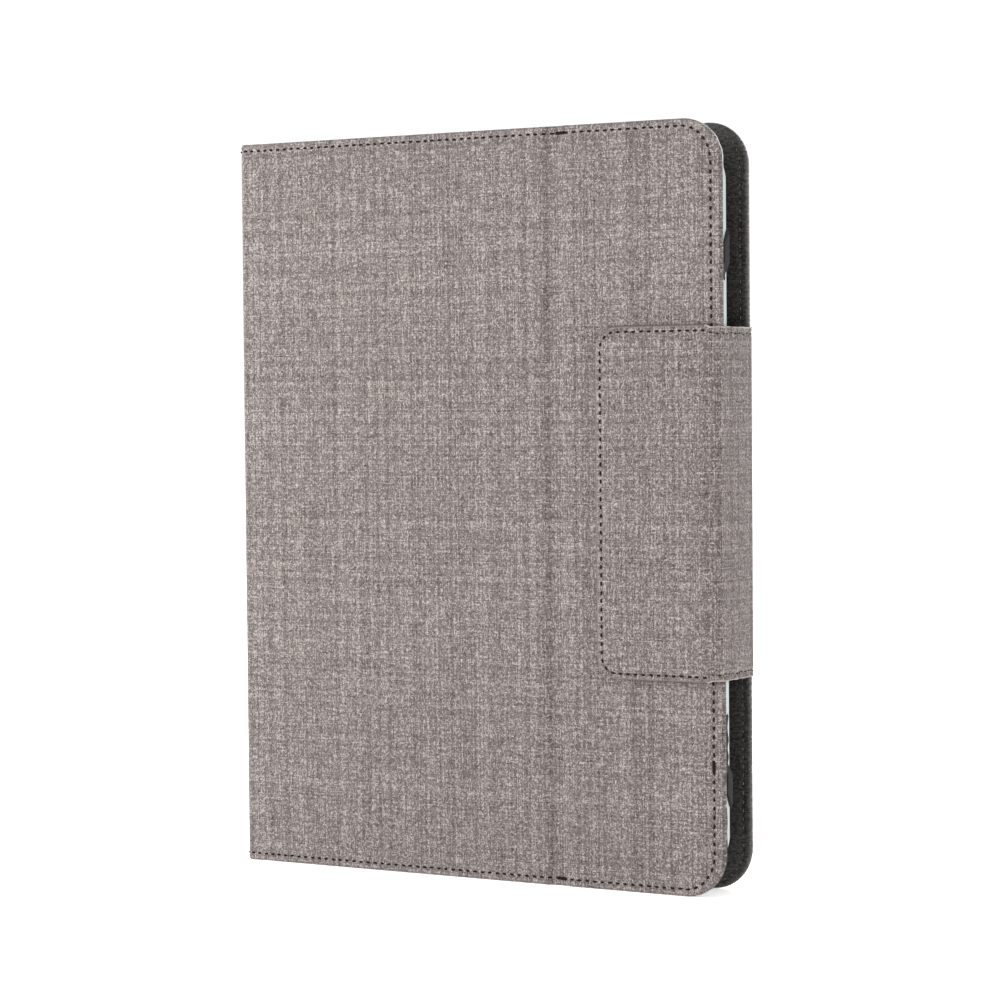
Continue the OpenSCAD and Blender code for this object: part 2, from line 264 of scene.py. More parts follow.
@dataclass
class Cut:
    """Flat outline of a sheet along the path from s0 to s1, with round corners or a plain cut at each end."""

    s0: float
    s1: float
    z0: float
    z1: float
    r0: float = 0.0
    r1: float = 0.0
    narrow: Callable[[float], float] = lambda s: 0.0
    arc_steps: int = 14

    def columns(self, stops: Iterable[float], step: float) -> list[tuple[int, float]]:
        """Where the mesh has its columns.

        Args:
            stops: distances along the path that get a column.
            step: widest spacing of the others.

        Returns:
            Pairs of a kind and a value: -1 or 1 with an angle for the round corners at the start or the
            end, and 0 with a distance along the path between them.
        """
        low, high = self.s0 + self.r0, self.s1 - self.r1
        marks = sorted({low, high, *[s for s in stops if low + 0.05 < s < high - 0.05]})
        middle: list[float] = []
        for a, b in zip(marks, marks[1:]):
            count = max(1, math.ceil((b - a) / step))
            middle += [a + (b - a) * k / count for k in range(count)]
        middle.append(high)
        turn = [math.pi / 2 * k / self.arc_steps for k in range(self.arc_steps + 1)]
        start = [(-1, a) for a in reversed(turn[1:])] if self.r0 else []
        end = [(1, a) for a in turn[1:]] if self.r1 else []
        return start + [(0, s) for s in middle] + end

    def place(self, column: tuple[int, float], share: float, side: float, end: float) -> Point2:
        """Where a column's point lies when the outline is shrunk.

        Args:
            column: one of columns().
            share: 0 at the lower edge and 1 at the upper one.
            side: how far the lower and upper edges are drawn in.
            end: how far a rounded end is drawn in.

        Returns:
            Distance along the path, and height.
        """
        kind, value = column
        if kind == 0:
            s, rise = value, side
        else:
            radius = self.r1 if kind > 0 else self.r0
            reach = (radius - end) * math.sin(value)
            s = self.s1 - radius + reach if kind > 0 else self.s0 + radius - reach
            rise = radius - (radius - side) * math.cos(value)
        rise += self.narrow(s)
        return s, self.z0 + rise + (self.z1 - self.z0 - 2 * rise) * share


@dataclass(frozen=True)
class Rolled:
    """How a sheet's edge is rounded: quarter ellipses on the outer and the inner side."""

    outer_inset: float = 1.15
    outer_depth: float = 1.15
    inner_inset: float = 0.12
    inner_depth: float = 0.4

    def rings(self, thick: float) -> list[tuple[float, float]]:
        """Inset and share of the thickness, from the outer face to the inner one."""
        squash = min(1.0, 0.98 * thick / (self.outer_depth + self.inner_depth))
        quarter = [math.pi / 8 * k for k in range(5)]
        found = [(self.outer_inset * (1 - math.sin(a)), self.outer_depth * squash * (1 - math.cos(a)) / thick)
                 for a in quarter]
        found += [(self.inner_inset * (1 - math.sin(a)),
                   1 - self.inner_depth * squash * (1 - math.cos(a)) / thick)
                  for a in reversed(quarter)]
        return found


@dataclass
class Channel:
    """The groove that a row of stitches pulls into a sheet."""

    side: float                    # distance from the lower and upper edges
    end: float                     # distance from the rounded end
    depth: float = 0.2
    half_width: float = 1.0
    inside: bool = False           # on the inner face

    def rings(self) -> list[tuple[float, float, float]]:
        """Side inset, end inset and sink, from the middle of the sheet outwards."""
        shape = ((1.5, 0.0), (0.7, 0.35), (0.0, 1.0), (-0.6, 0.35), (-1.0, 0.0))
        return [(self.side + self.half_width * k, self.end + self.half_width * k, self.depth * sink)
                for k, sink in shape]


@dataclass
class Sheet:
    """A closed sheet on a fold path: an outer face, a rolled edge and an inner face."""

    path: FoldPath
    cut: Cut
    outer: Callable[[float], float]
    inner: Callable[[float], float]
    edge: Rolled = Rolled()
    channel: Optional[Channel] = None
    rows: int = 12
    step: float = 9.0
    stops: Sequence[float] = ()
    crown: Optional[Callable[[float, float], float]] = None
    map_shift: Point2 = (0.0, 0.0)

    def _rings(self, thick: float) -> list[tuple[float, float, float, float]]:
        """Rings from the outer face round the edge to the inner one: side and end inset, share and sink."""
        groove = self.channel.rings() if self.channel else []
        inside = bool(self.channel and self.channel.inside)
        rings = [(side, end, 0.0, 0.0 if inside else sink) for side, end, sink in groove]
        rings += [(inset, inset, share, 0.0) for inset, share in self.edge.rings(thick)]
        rings += [(side, end, 1.0, -sink if inside else 0.0) for side, end, sink in reversed(groove)]
        return rings

    def _face_inset(self) -> float:
        """How far the flat of the outer face stops short of the lower and upper edges."""
        return self.channel.rings()[0][0] if self.channel else self.edge.outer_inset

    def _vertex(self, draft: MeshDraft, column: tuple[int, float], share: float,
                ring: tuple[float, float, float, float], plain: bool) -> int:
        """Adds the point where a column, a row and a ring meet.

        Args:
            draft: where it goes.
            column: one of the cut's columns.
            share: 0 at the lower edge and 1 at the upper one.
            ring: side and end inset, share of the thickness and sink.
            plain: whether the point lies within a plain cut, which has no rolled edge.

        Returns:
            The point's number.
        """
        side, end, depth_share, sink = ring
        s, z = self.cut.place(column, share, self._face_inset() if plain else side, end)
        low, high = self.outer(s), self.inner(s)
        depth = low + (high - low) * depth_share + (0.0 if plain else sink)
        if plain:
            depth = low if depth_share < 0.5 else high
        if self.crown:
            depth += self.crown(s, z) * (1 - depth_share)
        spot = self.path.point(s, z, depth)
        return draft.add(spot, (s + self.map_shift[0], z + self.map_shift[1]))

    def build(self, name: str, material: bpy.types.Material) -> bpy.types.Object:
        """Makes the sheet's mesh.

        Args:
            name: the piece's name.
            material: its finish.

        Returns:
            The piece.
        """
        draft = MeshDraft()
        columns = self.cut.columns(self.stops, self.step)
        last, rows = len(columns) - 1, self.rows
        border = [(i, 0) for i in range(last + 1)] + [(last, j) for j in range(1, rows + 1)]
        border += [(i, rows) for i in range(last - 1, -1, -1)] + [(0, j) for j in range(rows - 1, 0, -1)]

        def rings_at(i: int) -> list[tuple[float, float, float, float]]:
            """Rings for the thickness at one column."""
            s = self.cut.place(columns[i], 0.5, 0.0, 0.0)[0]
            return self._rings(self.inner(s) - self.outer(s))

        def face(which: int) -> dict[tuple[int, int], int]:
            """Adds the points of the outer or inner face."""
            return {(i, j): self._vertex(draft, columns[i], j / rows, rings_at(i)[which], False)
                    for i in range(last + 1) for j in range(rows + 1)}

        def is_plain(i: int, j: int) -> bool:
            """Whether a border point lies within a plain cut."""
            cut_end = (i == 0 and not self.cut.r0) or (i == last and not self.cut.r1)
            return cut_end and 0 < j < rows
        front, back = face(0), face(-1)
        for i in range(last):
            for j in range(rows):
                corners = ((i, j), (i + 1, j), (i + 1, j + 1), (i, j + 1))
                draft.faces.append(tuple(front[c] for c in corners))
                draft.faces.append(tuple(back[c] for c in reversed(corners)))
        loop = [front[c] for c in border]
        for k in range(1, len(rings_at(0)) - 1):
            ring = [self._vertex(draft, columns[i], j / rows, rings_at(i)[k], is_plain(i, j))
                    for i, j in border]
            draft.strip(loop, ring, closed=True)
            loop = ring
        draft.strip(loop, [back[c] for c in border], closed=True)
        return draft.build(name, material)


# ---------------------------------------------------------------- materials


class Shader:
    """A material with one Principled surface, and the means to add nodes to it."""

    def __init__(self, name: str, colour: str, roughness: float, **sockets: float) -> None:
        """Starts a material.

        Args:
            name: the finish's name.
            colour: sRGB hex value of the surface.
            roughness: of the surface.
            sockets: other values of the surface, with underscores for spaces.
        """
        self.material = bpy.data.materials.new(name)
        self.material.use_nodes = True
        self.tree = self.material.node_tree
        self.surface = self.tree.nodes["Principled BSDF"]
        self.surface.inputs["Base Color"].default_value = srgb(colour)
        self.surface.inputs["Roughness"].default_value = roughness
        self.material.diffuse_color = srgb(colour)
        for key, value in sockets.items():
            self.surface.inputs[key.replace("_", " ")].default_value = value

    def node(self, kind: str, settings: Optional[dict] = None,
             links: Optional[dict] = None) -> bpy.types.Node:
        """Adds a node.

        Args:
            kind: the node's type name without its ShaderNode prefix.
            settings: attributes, or input values where the key names or numbers an input.
            links: for each input, the socket that feeds it, or the node whose first output does.

        Returns:
            The node.
        """
        made = self.tree.nodes.new("ShaderNode" + kind)
        for key, value in (settings or {}).items():
            if isinstance(key, int) or key in made.inputs:
                made.inputs[key].default_value = value
            else:
                setattr(made, key, value)
        self.link(made, links or {})
        return made

    def link(self, node: bpy.types.Node, links: dict) -> None:
        """Feeds a node's inputs from sockets, or from nodes' first outputs."""
        for key, source in links.items():
            socket = source.outputs[0] if isinstance(source, bpy.types.Node) else source
            self.tree.links.new(socket, node.inputs[key])


def per_mm(*lengths: float) -> tuple[float, float, float]:
    """Factors that turn metres into counts of the given lengths in millimetres."""
    sizes = list(lengths) + [lengths[-1]] * (3 - len(lengths))
    return (1 / (sizes[0] * MM), 1 / (sizes[1] * MM), 1 / (sizes[2] * MM))


def paint(shader: Shader, ramp: bpy.types.Node, stops: Sequence[tuple[float, str]]) -> None:
    """Sets a colour ramp's stops and feeds the surface's colour with it.

    Args:
        shader: the material.
        ramp: its colour ramp.
        stops: places and sRGB hex values, in order.
    """
    band = ramp.color_ramp
    while len(band.elements) < len(stops):
        band.elements.new(0.5)
    for element, (place, code) in zip(band.elements, stops):
        element.position = place
        element.color = srgb(code)
    shader.link(shader.surface, {"Base Color": ramp.outputs["Color"]})


@dataclass(frozen=True)
class LinenLookCloth:
    """Melange polyester woven to look like linen: matt, with uneven light and dark threads both ways."""

    name: str = "linen_look_polyester_plain_weave"
    dark: str = "#201b1a"
    body: str = "#5d5654"
    light: str = "#9d9592"
    thread_mm: float = 0.4         # real threads are near 0.3 mm; drawn coarser so that they show
    slub_mm: float = 9.0           # length of a thick or pale stretch of thread
    speck_mm: float = 0.42         # lumps of yarn
    float_mm: float = 0.7          # length of a thread's run over the others; real ones are near 0.6 mm
    mottle_mm: float = 14.0
    bump_mm: float = 0.16

    def build(self) -> bpy.types.Material:
        """Makes the material."""
        # the fuzz of the yarn gives a faint sheen at grazing angles and hides every highlight
        s = Shader(self.name, self.body, 0.92, Sheen_Weight=0.12, Sheen_Roughness=0.5, Specular_IOR_Level=0.2)
        where = s.node("UVMap", {"uv_map": WEAVE_MAP})
        threads = [self._threads(s, where, along) for along in (1, 0)]
        dots = s.node("VectorMath", {"operation": "MULTIPLY", 1: per_mm(self.speck_mm)}, {0: where})
        speck = s.node("TexNoise", {"Scale": 1.0, "Detail": 1.0}, {"Vector": dots})
        broad = s.node("VectorMath",
                       {"operation": "MULTIPLY", 1: per_mm(self.mottle_mm * 0.6, self.mottle_mm)}, {0: where})
        mottle = s.node("TexNoise", {"Scale": 1.0, "Detail": 2.0}, {"Vector": broad})
        # the warp shows a little more than the weft, as in a cloth whose warp is set closer
        warp_part = s.node("Math", {"operation": "MULTIPLY_ADD", 1: 0.56, 2: 0.035}, {0: threads[0]})
        crossed = s.node("Math", {"operation": "MULTIPLY_ADD", 1: 0.44}, {0: threads[1], 2: warp_part})
        mixed = s.node("Math", {"operation": "MULTIPLY_ADD", 1: 0.43}, {0: speck, 2: crossed})
        shade = s.node("Math", {"operation": "MULTIPLY_ADD", 1: 0.04}, {0: mottle, 2: mixed})
        ramp = s.node("ValToRGB", {}, {"Fac": shade})
        paint(s, ramp, ((0.55, self.dark), (0.78, self.body), (1.0, self.light)))
        bump = s.node("Bump", {"Strength": 0.7, "Distance": self.bump_mm * MM}, {"Height": mixed})
        s.link(s.surface, {"Normal": bump})
        return s.material

    def _threads(self, s: Shader, where: bpy.types.Node, along: int) -> bpy.types.Node:
        """Adds the tone of one set of threads.

        Args:
            s: the material.
            where: the flat cloth's coordinates.
            along: 0 for threads that run along the path, 1 for upright ones.

        Returns:
            The node whose first output is the tone, from 0 to 1.
        """
        sizes = (self.slub_mm * 0.6, self.thread_mm) if along == 0 else (self.thread_mm, self.slub_mm)
        scaled = s.node("VectorMath", {"operation": "MULTIPLY", 1: per_mm(*sizes)}, {0: where})
        parts = s.node("SeparateXYZ", {}, {0: scaled})
        number = s.node("Math", {"operation": "FLOOR"}, {0: parts.outputs[1 - along]})
        # each thread has a tone of its own, and its pale stretches start at a place of their own
        own = s.node("TexWhiteNoise", {"noise_dimensions": "1D"}, {"W": number})
        start = s.node("Math", {"operation": "MULTIPLY_ADD", 1: 61.7}, {0: own, 2: parts.outputs[along]})
        spot = s.node("CombineXYZ", {}, {0: start, 1: number})
        slub = s.node("TexNoise", {"noise_dimensions": "2D", "Scale": 1.0, "Detail": 2.0, "Roughness": 0.6},
                      {"Vector": spot})
        tinge = s.node("MapRange", {"To Min": 0.105, "To Max": 0.245}, {"Value": own})
        # where the thread lies over the others it is seen as a short dash with a tone of its own
        dashes = s.node("Math", {"operation": "MULTIPLY", 1: sizes[along] / self.float_mm}, {0: start})
        dash = s.node("CombineXYZ", {}, {0: s.node("Math", {"operation": "FLOOR"}, {0: dashes}), 1: number})
        risen = s.node("TexWhiteNoise", {"noise_dimensions": "2D"}, {"Vector": dash})
        tone = s.node("Math", {"operation": "MULTIPLY_ADD", 1: 0.28}, {0: risen, 2: tinge})
        return s.node("Math", {"operation": "MULTIPLY_ADD", 1: 0.37}, {0: slub, 2: tone})


@dataclass(frozen=True)
class GrainedLining:
    """Soft artificial leather with a fine grain pressed into it: dull, with small glints on its ridges."""

    name: str = "pressed_grain_artificial_leather"
    base: str = "#11110f"
    worn: str = "#3b3936"
    grain_mm: float = 0.68
    fold_mm: float = 1.9           # length of the short ripples that run across the cover
    bump_mm: float = 0.26

    def build(self) -> bpy.types.Material:
        """Makes the material."""
        s = Shader(self.name, self.base, 0.5, Specular_IOR_Level=0.45)
        where = s.node("UVMap", {"uv_map": WEAVE_MAP})
        cells = s.node("VectorMath", {"operation": "MULTIPLY", 1: per_mm(self.grain_mm)}, {0: where})
        long_cells = s.node("VectorMath", {"operation": "MULTIPLY", 1: per_mm(self.fold_mm, self.grain_mm)},
                            {0: where})
        pebble = s.node("TexVoronoi", {"feature": "F1", "Scale": 1.0, "Randomness": 0.9}, {"Vector": cells})
        ripple = s.node("TexNoise", {"Scale": 1.0, "Detail": 3.0, "Distortion": 0.6}, {"Vector": long_cells})
        fine = s.node("TexNoise", {"Scale": 3.0, "Detail": 2.0}, {"Vector": cells})
        hills = s.node("Math", {"operation": "MULTIPLY_ADD", 1: -0.35},
                       {0: pebble.outputs["Distance"], 2: ripple})
        height = s.node("Math", {"operation": "MULTIPLY_ADD", 1: 0.2}, {0: fine, 2: hills})
        ramp = s.node("ValToRGB", {}, {"Fac": height})
        paint(s, ramp, ((0.28, self.base), (0.56, self.worn)))
        rough = s.node("MapRange", {"To Min": 0.62, "To Max": 0.42}, {"Value": height})
        bump = s.node("Bump", {"Strength": 0.8, "Distance": self.bump_mm * MM}, {"Height": height})
        s.link(s.surface, {"Roughness": rough, "Normal": bump})
        return s.material


@dataclass(frozen=True)
class SewingThread:
    """Twisted polyester thread: a hard low sheen, with the twist across each stitch."""

    name: str = "twisted_polyester_thread"
    base: str = "#0a0505"
    light: str = "#1e1412"
    twist_mm: float = 0.35

    def build(self) -> bpy.types.Material:
        """Makes the material."""
        s = Shader(self.name, self.base, 0.7, Specular_IOR_Level=0.1)
        where = s.node("TexCoord")
        close = s.node("VectorMath", {"operation": "MULTIPLY", 1: per_mm(self.twist_mm)},
                       {0: where.outputs["Object"]})
        twist = s.node("TexWave", {"Scale": 0.5, "Distortion": 1.0}, {"Vector": close})
        ramp = s.node("ValToRGB", {}, {"Fac": twist.outputs["Fac"]})
        paint(s, ramp, ((0.2, self.base), (0.95, self.light)))
        bump = s.node("Bump", {"Strength": 0.6, "Distance": 0.06 * MM}, {"Height": twist.outputs["Fac"]})
        s.link(s.surface, {"Normal": bump})
        return s.material


@dataclass(frozen=True)
class RolledEdge:
    """A streaky bead of cloth edge, nearly smooth as its weave is filled; the pale ones carry painted highlight.
    """

    name: str = "coated_cloth_fold"
    base: str = "#463b38"
    light: str = "#5b504d"

    def build(self) -> bpy.types.Material:
        """Makes the material."""
        s = Shader(self.name, self.base, 0.6)
        where = s.node("TexCoord")
        close = s.node("VectorMath", {"operation": "MULTIPLY", 1: per_mm(1.5)}, {0: where.outputs["Object"]})
        streak = s.node("TexNoise", {"Scale": 1.0, "Detail": 3.0}, {"Vector": close})
        ramp = s.node("ValToRGB", {}, {"Fac": streak})
        paint(s, ramp, ((0.3, self.base), (0.75, self.light)))
        bump = s.node("Bump", {"Strength": 0.4, "Distance": 0.05 * MM}, {"Height": streak})
        s.link(s.surface, {"Normal": bump})
        return s.material


@dataclass(frozen=True)
class RibbedElastic:
    """Woven elastic: black cords side by side under a tight covering yarn."""

    name: str = "woven_rubber_elastic"
    base: str = "#090909"
    worn: str = "#1e1e1f"
    yarn_mm: float = 0.6

    def build(self) -> bpy.types.Material:
        """Makes the material."""
        s = Shader(self.name, self.base, 0.75, Specular_IOR_Level=0.3)
        where = s.node("UVMap", {"uv_map": WEAVE_MAP})
        tight = s.node("VectorMath", {"operation": "MULTIPLY", 1: per_mm(self.yarn_mm, 30.0)}, {0: where})
        yarn = s.node("TexWave", {"Scale": 0.5, "Distortion": 0.6, "bands_direction": "X"}, {"Vector": tight})
        ramp = s.node("ValToRGB", {}, {"Fac": yarn.outputs["Fac"]})
        paint(s, ramp, ((0.1, self.base), (1.0, self.worn)))
        bump = s.node("Bump", {"Strength": 0.8, "Distance": 0.12 * MM}, {"Height": yarn.outputs["Fac"]})
        s.link(s.surface, {"Normal": bump})
        return s.material


@dataclass(frozen=True)
class Moulding:
    """Injection-moulded plastic: even colour, broken reflections from the spark-eroded face of its mould."""

    name: str
    base: str
    light: str
    roughness: float = 0.5
    texture_mm: float = 0.35
    bump_mm: float = 0.02
    gloss: float = 0.5

    def build(self) -> bpy.types.Material:
        """Makes the material."""
        s = Shader(self.name, self.base, self.roughness, IOR=1.5, Specular_IOR_Level=self.gloss)
        where = s.node("TexCoord")
        close = s.node("VectorMath", {"operation": "MULTIPLY", 1: per_mm(self.texture_mm)},
                       {0: where.outputs["Object"]})
        broad = s.node("VectorMath", {"operation": "MULTIPLY", 1: per_mm(24.0)}, {0: where.outputs["Object"]})
        spark = s.node("TexNoise", {"Scale": 1.0, "Detail": 3.0, "Roughness": 0.6}, {"Vector": close})
        cloud = s.node("TexNoise", {"Scale": 1.0, "Detail": 2.0}, {"Vector": broad})
        ramp = s.node("ValToRGB", {}, {"Fac": cloud})
        paint(s, ramp, ((0.3, self.base), (0.7, self.light)))
        rough = s.node("MapRange", {"To Min": self.roughness - 0.06, "To Max": self.roughness + 0.08},
                       {"Value": spark})
        bump = s.node("Bump", {"Strength": 0.6, "Distance": self.bump_mm * MM}, {"Height": spark})
        s.link(s.surface, {"Roughness": rough, "Normal": bump})
        return s.material


@dataclass(frozen=True)
class RolledMetal:
    """Thin rolled or plated metal: a bright mirror blurred along the faint grain of the rolls."""

    name: str
    base: str
    roughness: float = 0.32
    grain_mm: float = 0.3

    def build(self) -> bpy.types.Material:
        """Makes the material."""
        s = Shader(self.name, self.base, self.roughness, Metallic=1.0)
        where = s.node("TexCoord")
        along = s.node("VectorMath", {"operation": "MULTIPLY", 1: per_mm(self.grain_mm, self.grain_mm, 18.0)},
                       {0: where.outputs["Object"]})
        grain = s.node("TexNoise", {"Scale": 1.0, "Detail": 3.0}, {"Vector": along})
        rough = s.node("MapRange", {"To Min": self.roughness - 0.08, "To Max": self.roughness + 0.12},
                       {"Value": grain})
        bump = s.node("Bump", {"Strength": 0.4, "Distance": 0.01 * MM}, {"Height": grain})
        s.link(s.surface, {"Roughness": rough, "Normal": bump})
        return s.material


@dataclass(frozen=True)
class FibreBoard:
    """Pressed grey board: flecked paper fibres, quite matt."""

    name: str = "pressed_greyboard"
    base: str = "#8a8378"
    fleck: str = "#5f5a52"

    def build(self) -> bpy.types.Material:
        """Makes the material."""
        s = Shader(self.name, self.base, 0.95)
        where = s.node("TexCoord")
        close = s.node("VectorMath", {"operation": "MULTIPLY", 1: per_mm(0.8)}, {0: where.outputs["Object"]})
        fibres = s.node("TexNoise", {"Scale": 1.0, "Detail": 5.0, "Roughness": 0.7}, {"Vector": close})
        ramp = s.node("ValToRGB", {}, {"Fac": fibres})
        paint(s, ramp, ((0.35, self.fleck), (0.6, self.base)))
        bump = s.node("Bump", {"Strength": 0.5, "Distance": 0.05 * MM}, {"Height": fibres})
        s.link(s.surface, {"Normal": bump})
        return s.material


@dataclass(frozen=True)
class BrushedPile:
    """Short brushed microfibre: deep and dull, paler where the pile leans."""

    name: str = "brushed_microfibre"
    base: str = "#151517"
    lean: str = "#222226"

    def build(self) -> bpy.types.Material:
        """Makes the material."""
        s = Shader(self.name, self.base, 1.0, Sheen_Weight=0.2, Sheen_Roughness=0.4, Specular_IOR_Level=0.2)
        where = s.node("TexCoord")
        close = s.node("VectorMath", {"operation": "MULTIPLY", 1: per_mm(0.4)}, {0: where.outputs["Object"]})
        broad = s.node("VectorMath", {"operation": "MULTIPLY", 1: per_mm(30.0)}, {0: where.outputs["Object"]})
        pile = s.node("TexNoise", {"Scale": 1.0, "Detail": 2.0}, {"Vector": close})
        lay = s.node("TexNoise", {"Scale": 1.0, "Detail": 3.0}, {"Vector": broad})
        ramp = s.node("ValToRGB", {}, {"Fac": lay})
        paint(s, ramp, ((0.35, self.base), (0.7, self.lean)))
        bump = s.node("Bump", {"Strength": 0.7, "Distance": 0.08 * MM}, {"Height": pile})
        s.link(s.surface, {"Normal": bump})
        return s.material


class Finish(Enum):
    """Every finish that the case uses."""

    CLOTH = LinenLookCloth()
    LINING = GrainedLining()
    THREAD = SewingThread()
    BOBBIN_THREAD = SewingThread(name="grey_bobbin_thread", base="#383532", light="#6c6761")
    EDGE = RolledEdge()
    # pale strip folds: painted highlight along the rolled edges
    PALE_EDGE = RolledEdge(name="cloth_fold_painted_highlight", base="#736966", light="#958b87")
    # top corner fringe: frayed backing, drawn near white as painted highlight
    FRINGE = RolledEdge(name="frayed_backing_painted_highlight", base="#8d8d89", light="#dadbd8")
    # dark ragged beads along the free edge
    LINT = RolledEdge(name="dried_glue_with_lint", base="#120c0a", light="#231917")
    ELASTIC = RibbedElastic()
    PLATE = Moulding("pale_polycarbonate_sheet", "#8f9897", "#9aa3a2", 0.38, 0.5, 0.015)
    TRAY = Moulding("black_abs_tray", "#0e0e0f", "#121213", 0.56, gloss=0.25)
    DECK = Moulding("black_abs_deck", "#101011", "#141415", 0.54, gloss=0.25)
    CAP = Moulding("satin_abs_key_cap", "#161618", "#1a1a1c", 0.46, 0.3, 0.012, 0.35)
    CONTROL = Moulding("grey_abs_control", "#3c3c40", "#444448", 0.4)
    RUBBER = Moulding("moulded_silicone_rubber", "#1c1d1e", "#222324", 0.75, 0.6, 0.03, 0.3)
    LIGHT_PIPE = Moulding("clear_acrylic_light_pipe", "#c5ccc8", "#cfd6d2", 0.2, 1.0, 0.005)
    CIRCUIT = Moulding("green_solder_mask", "#184a31", "#1d5238", 0.3, 0.8, 0.02)
    FOAM = Moulding("closed_cell_foam", "#131313", "#1a1a1a", 0.95, 0.5, 0.08)
    STEEL = RolledMetal("cold_rolled_steel", "#b9bcbf")
    DARK_STEEL = RolledMetal("black_oxide_steel", "#343437", 0.38)
    NICKEL = RolledMetal("nickel_plating", "#c9c6bf", 0.22)
    CAN = RolledMetal("tinned_shielding_can", "#c3c5c6", 0.28)
    POUCH = RolledMetal("aluminium_pouch_foil", "#b5b8bb", 0.4, 0.8)
    BOARD = FibreBoard()
    PILE = BrushedPile()

    def material(self) -> bpy.types.Material:
        """The finish's material, made the first time that it is asked for."""
        found = bpy.data.materials.get(self.value.name)
        return found or self.value.build()


# ---------------------------------------------------------------- the case's layout


@dataclass(frozen=True)
class Layout:
    """Places that several assemblies share, in millimetres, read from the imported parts."""

    spine_x: float
    edge_x: float
    outer_x: float
    tongue_x: float
    tongue_y: float
    front_y: float
    back_y: float
    rear_y: float
    crease_x: float
    height: float
    flap_z0: float
    flap_z1: float

    @classmethod
    def read(cls) -> "Layout":
        """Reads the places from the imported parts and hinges."""
        back, front = box_mm("back_fabric"), box_mm("front_outer_fabric")
        spine, tongue, gusset = box_mm("spine_fabric"), box_mm("tongue_fabric"), box_mm("gusset_fabric")
        return cls(
            spine_x=spine[0].x, edge_x=back[1].x, outer_x=gusset[1].x, tongue_x=tongue[0].x,
            tongue_y=tongue[0].y, front_y=front[0].y, back_y=back[1].y, rear_y=gusset[1].y,
            crease_x=hinge_mm("crease_fold").x, height=back[1].z, flap_z0=tongue[0].z, flap_z1=tongue[1].z)


# ---------------------------------------------------------------- stitches


@dataclass
class Seam:
    """A row of lockstitches, each a small lozenge of thread that dips into the cloth at both ends."""

    pitch: float = 3.0
    length: float = 1.7
    width: float = 0.74
    height: float = 0.42
    seed: int = 7
    stray: float = 0.06            # how far a stitch wanders off the row

    def sew(self, draft: MeshDraft, place: Walk, total: float, knots: Sequence[float] = ()) -> None:
        """Adds the stitches of one row.

        Args:
            draft: where they go.
            place: gives the point, the direction along the row and the outward direction at a distance.
            total: length of the row.
            knots: distances at which the row is sewn over twice.
        """
        chance = random.Random(self.seed)
        count = max(1, round(total / self.pitch))
        for k in range(count):
            middle = (k + 0.5) * total / count + chance.uniform(-0.12, 0.12)
            self._stitch(draft, place, middle, chance.uniform(0.92, 1.08), chance.uniform(-0.08, 0.08), 1.0)
        for spot in knots:
            for step in (-1.6, -0.4, 0.9):
                self._stitch(draft, place, spot + step, 1.15, chance.uniform(-0.25, 0.25), 1.5)

    def _stitch(self, draft: MeshDraft, place: Walk, middle: float, stretch: float, slant: float,
                fat: float) -> None:
        """Adds one stitch.

        Args:
            draft: where it goes.
            place: gives the point, the direction along the row and the outward direction at a distance.
            middle: the stitch's distance along the row.
            stretch: its length as a share of the usual one.
            slant: how far each of its ends lies to one side.
            fat: its width and height as a share of the usual ones.
        """
        spot, along, out = place(middle)
        across = out.cross(along).normalized()
        spot = spot + across * (self.stray * math.sin(middle * 0.83) * math.sin(middle * 0.31 + 1))
        sides, rings = 6, 5
        rows: list[list[int]] = []
        for r in range(rings):
            t = r / (rings - 1) * 2 - 1
            swell = math.sqrt(max(0.0, 1 - t ** 4)) * 0.8 + 0.2
            centre = spot + along * (t * self.length * stretch / 2) + across * (slant * t)
            centre = centre + out * (self.height * fat * (0.42 - 0.85 * t * t))
            row = []
            for k in range(sides):
                a = 2 * math.pi * k / sides
                step = across * (math.cos(a) * self.width * fat / 2 * swell)
                step = step + out * (math.sin(a) * self.height * fat / 2 * swell)
                row.append(draft.add(centre + step, (middle, 0.0)))
            rows.append(row)
        draft.skin(rows)


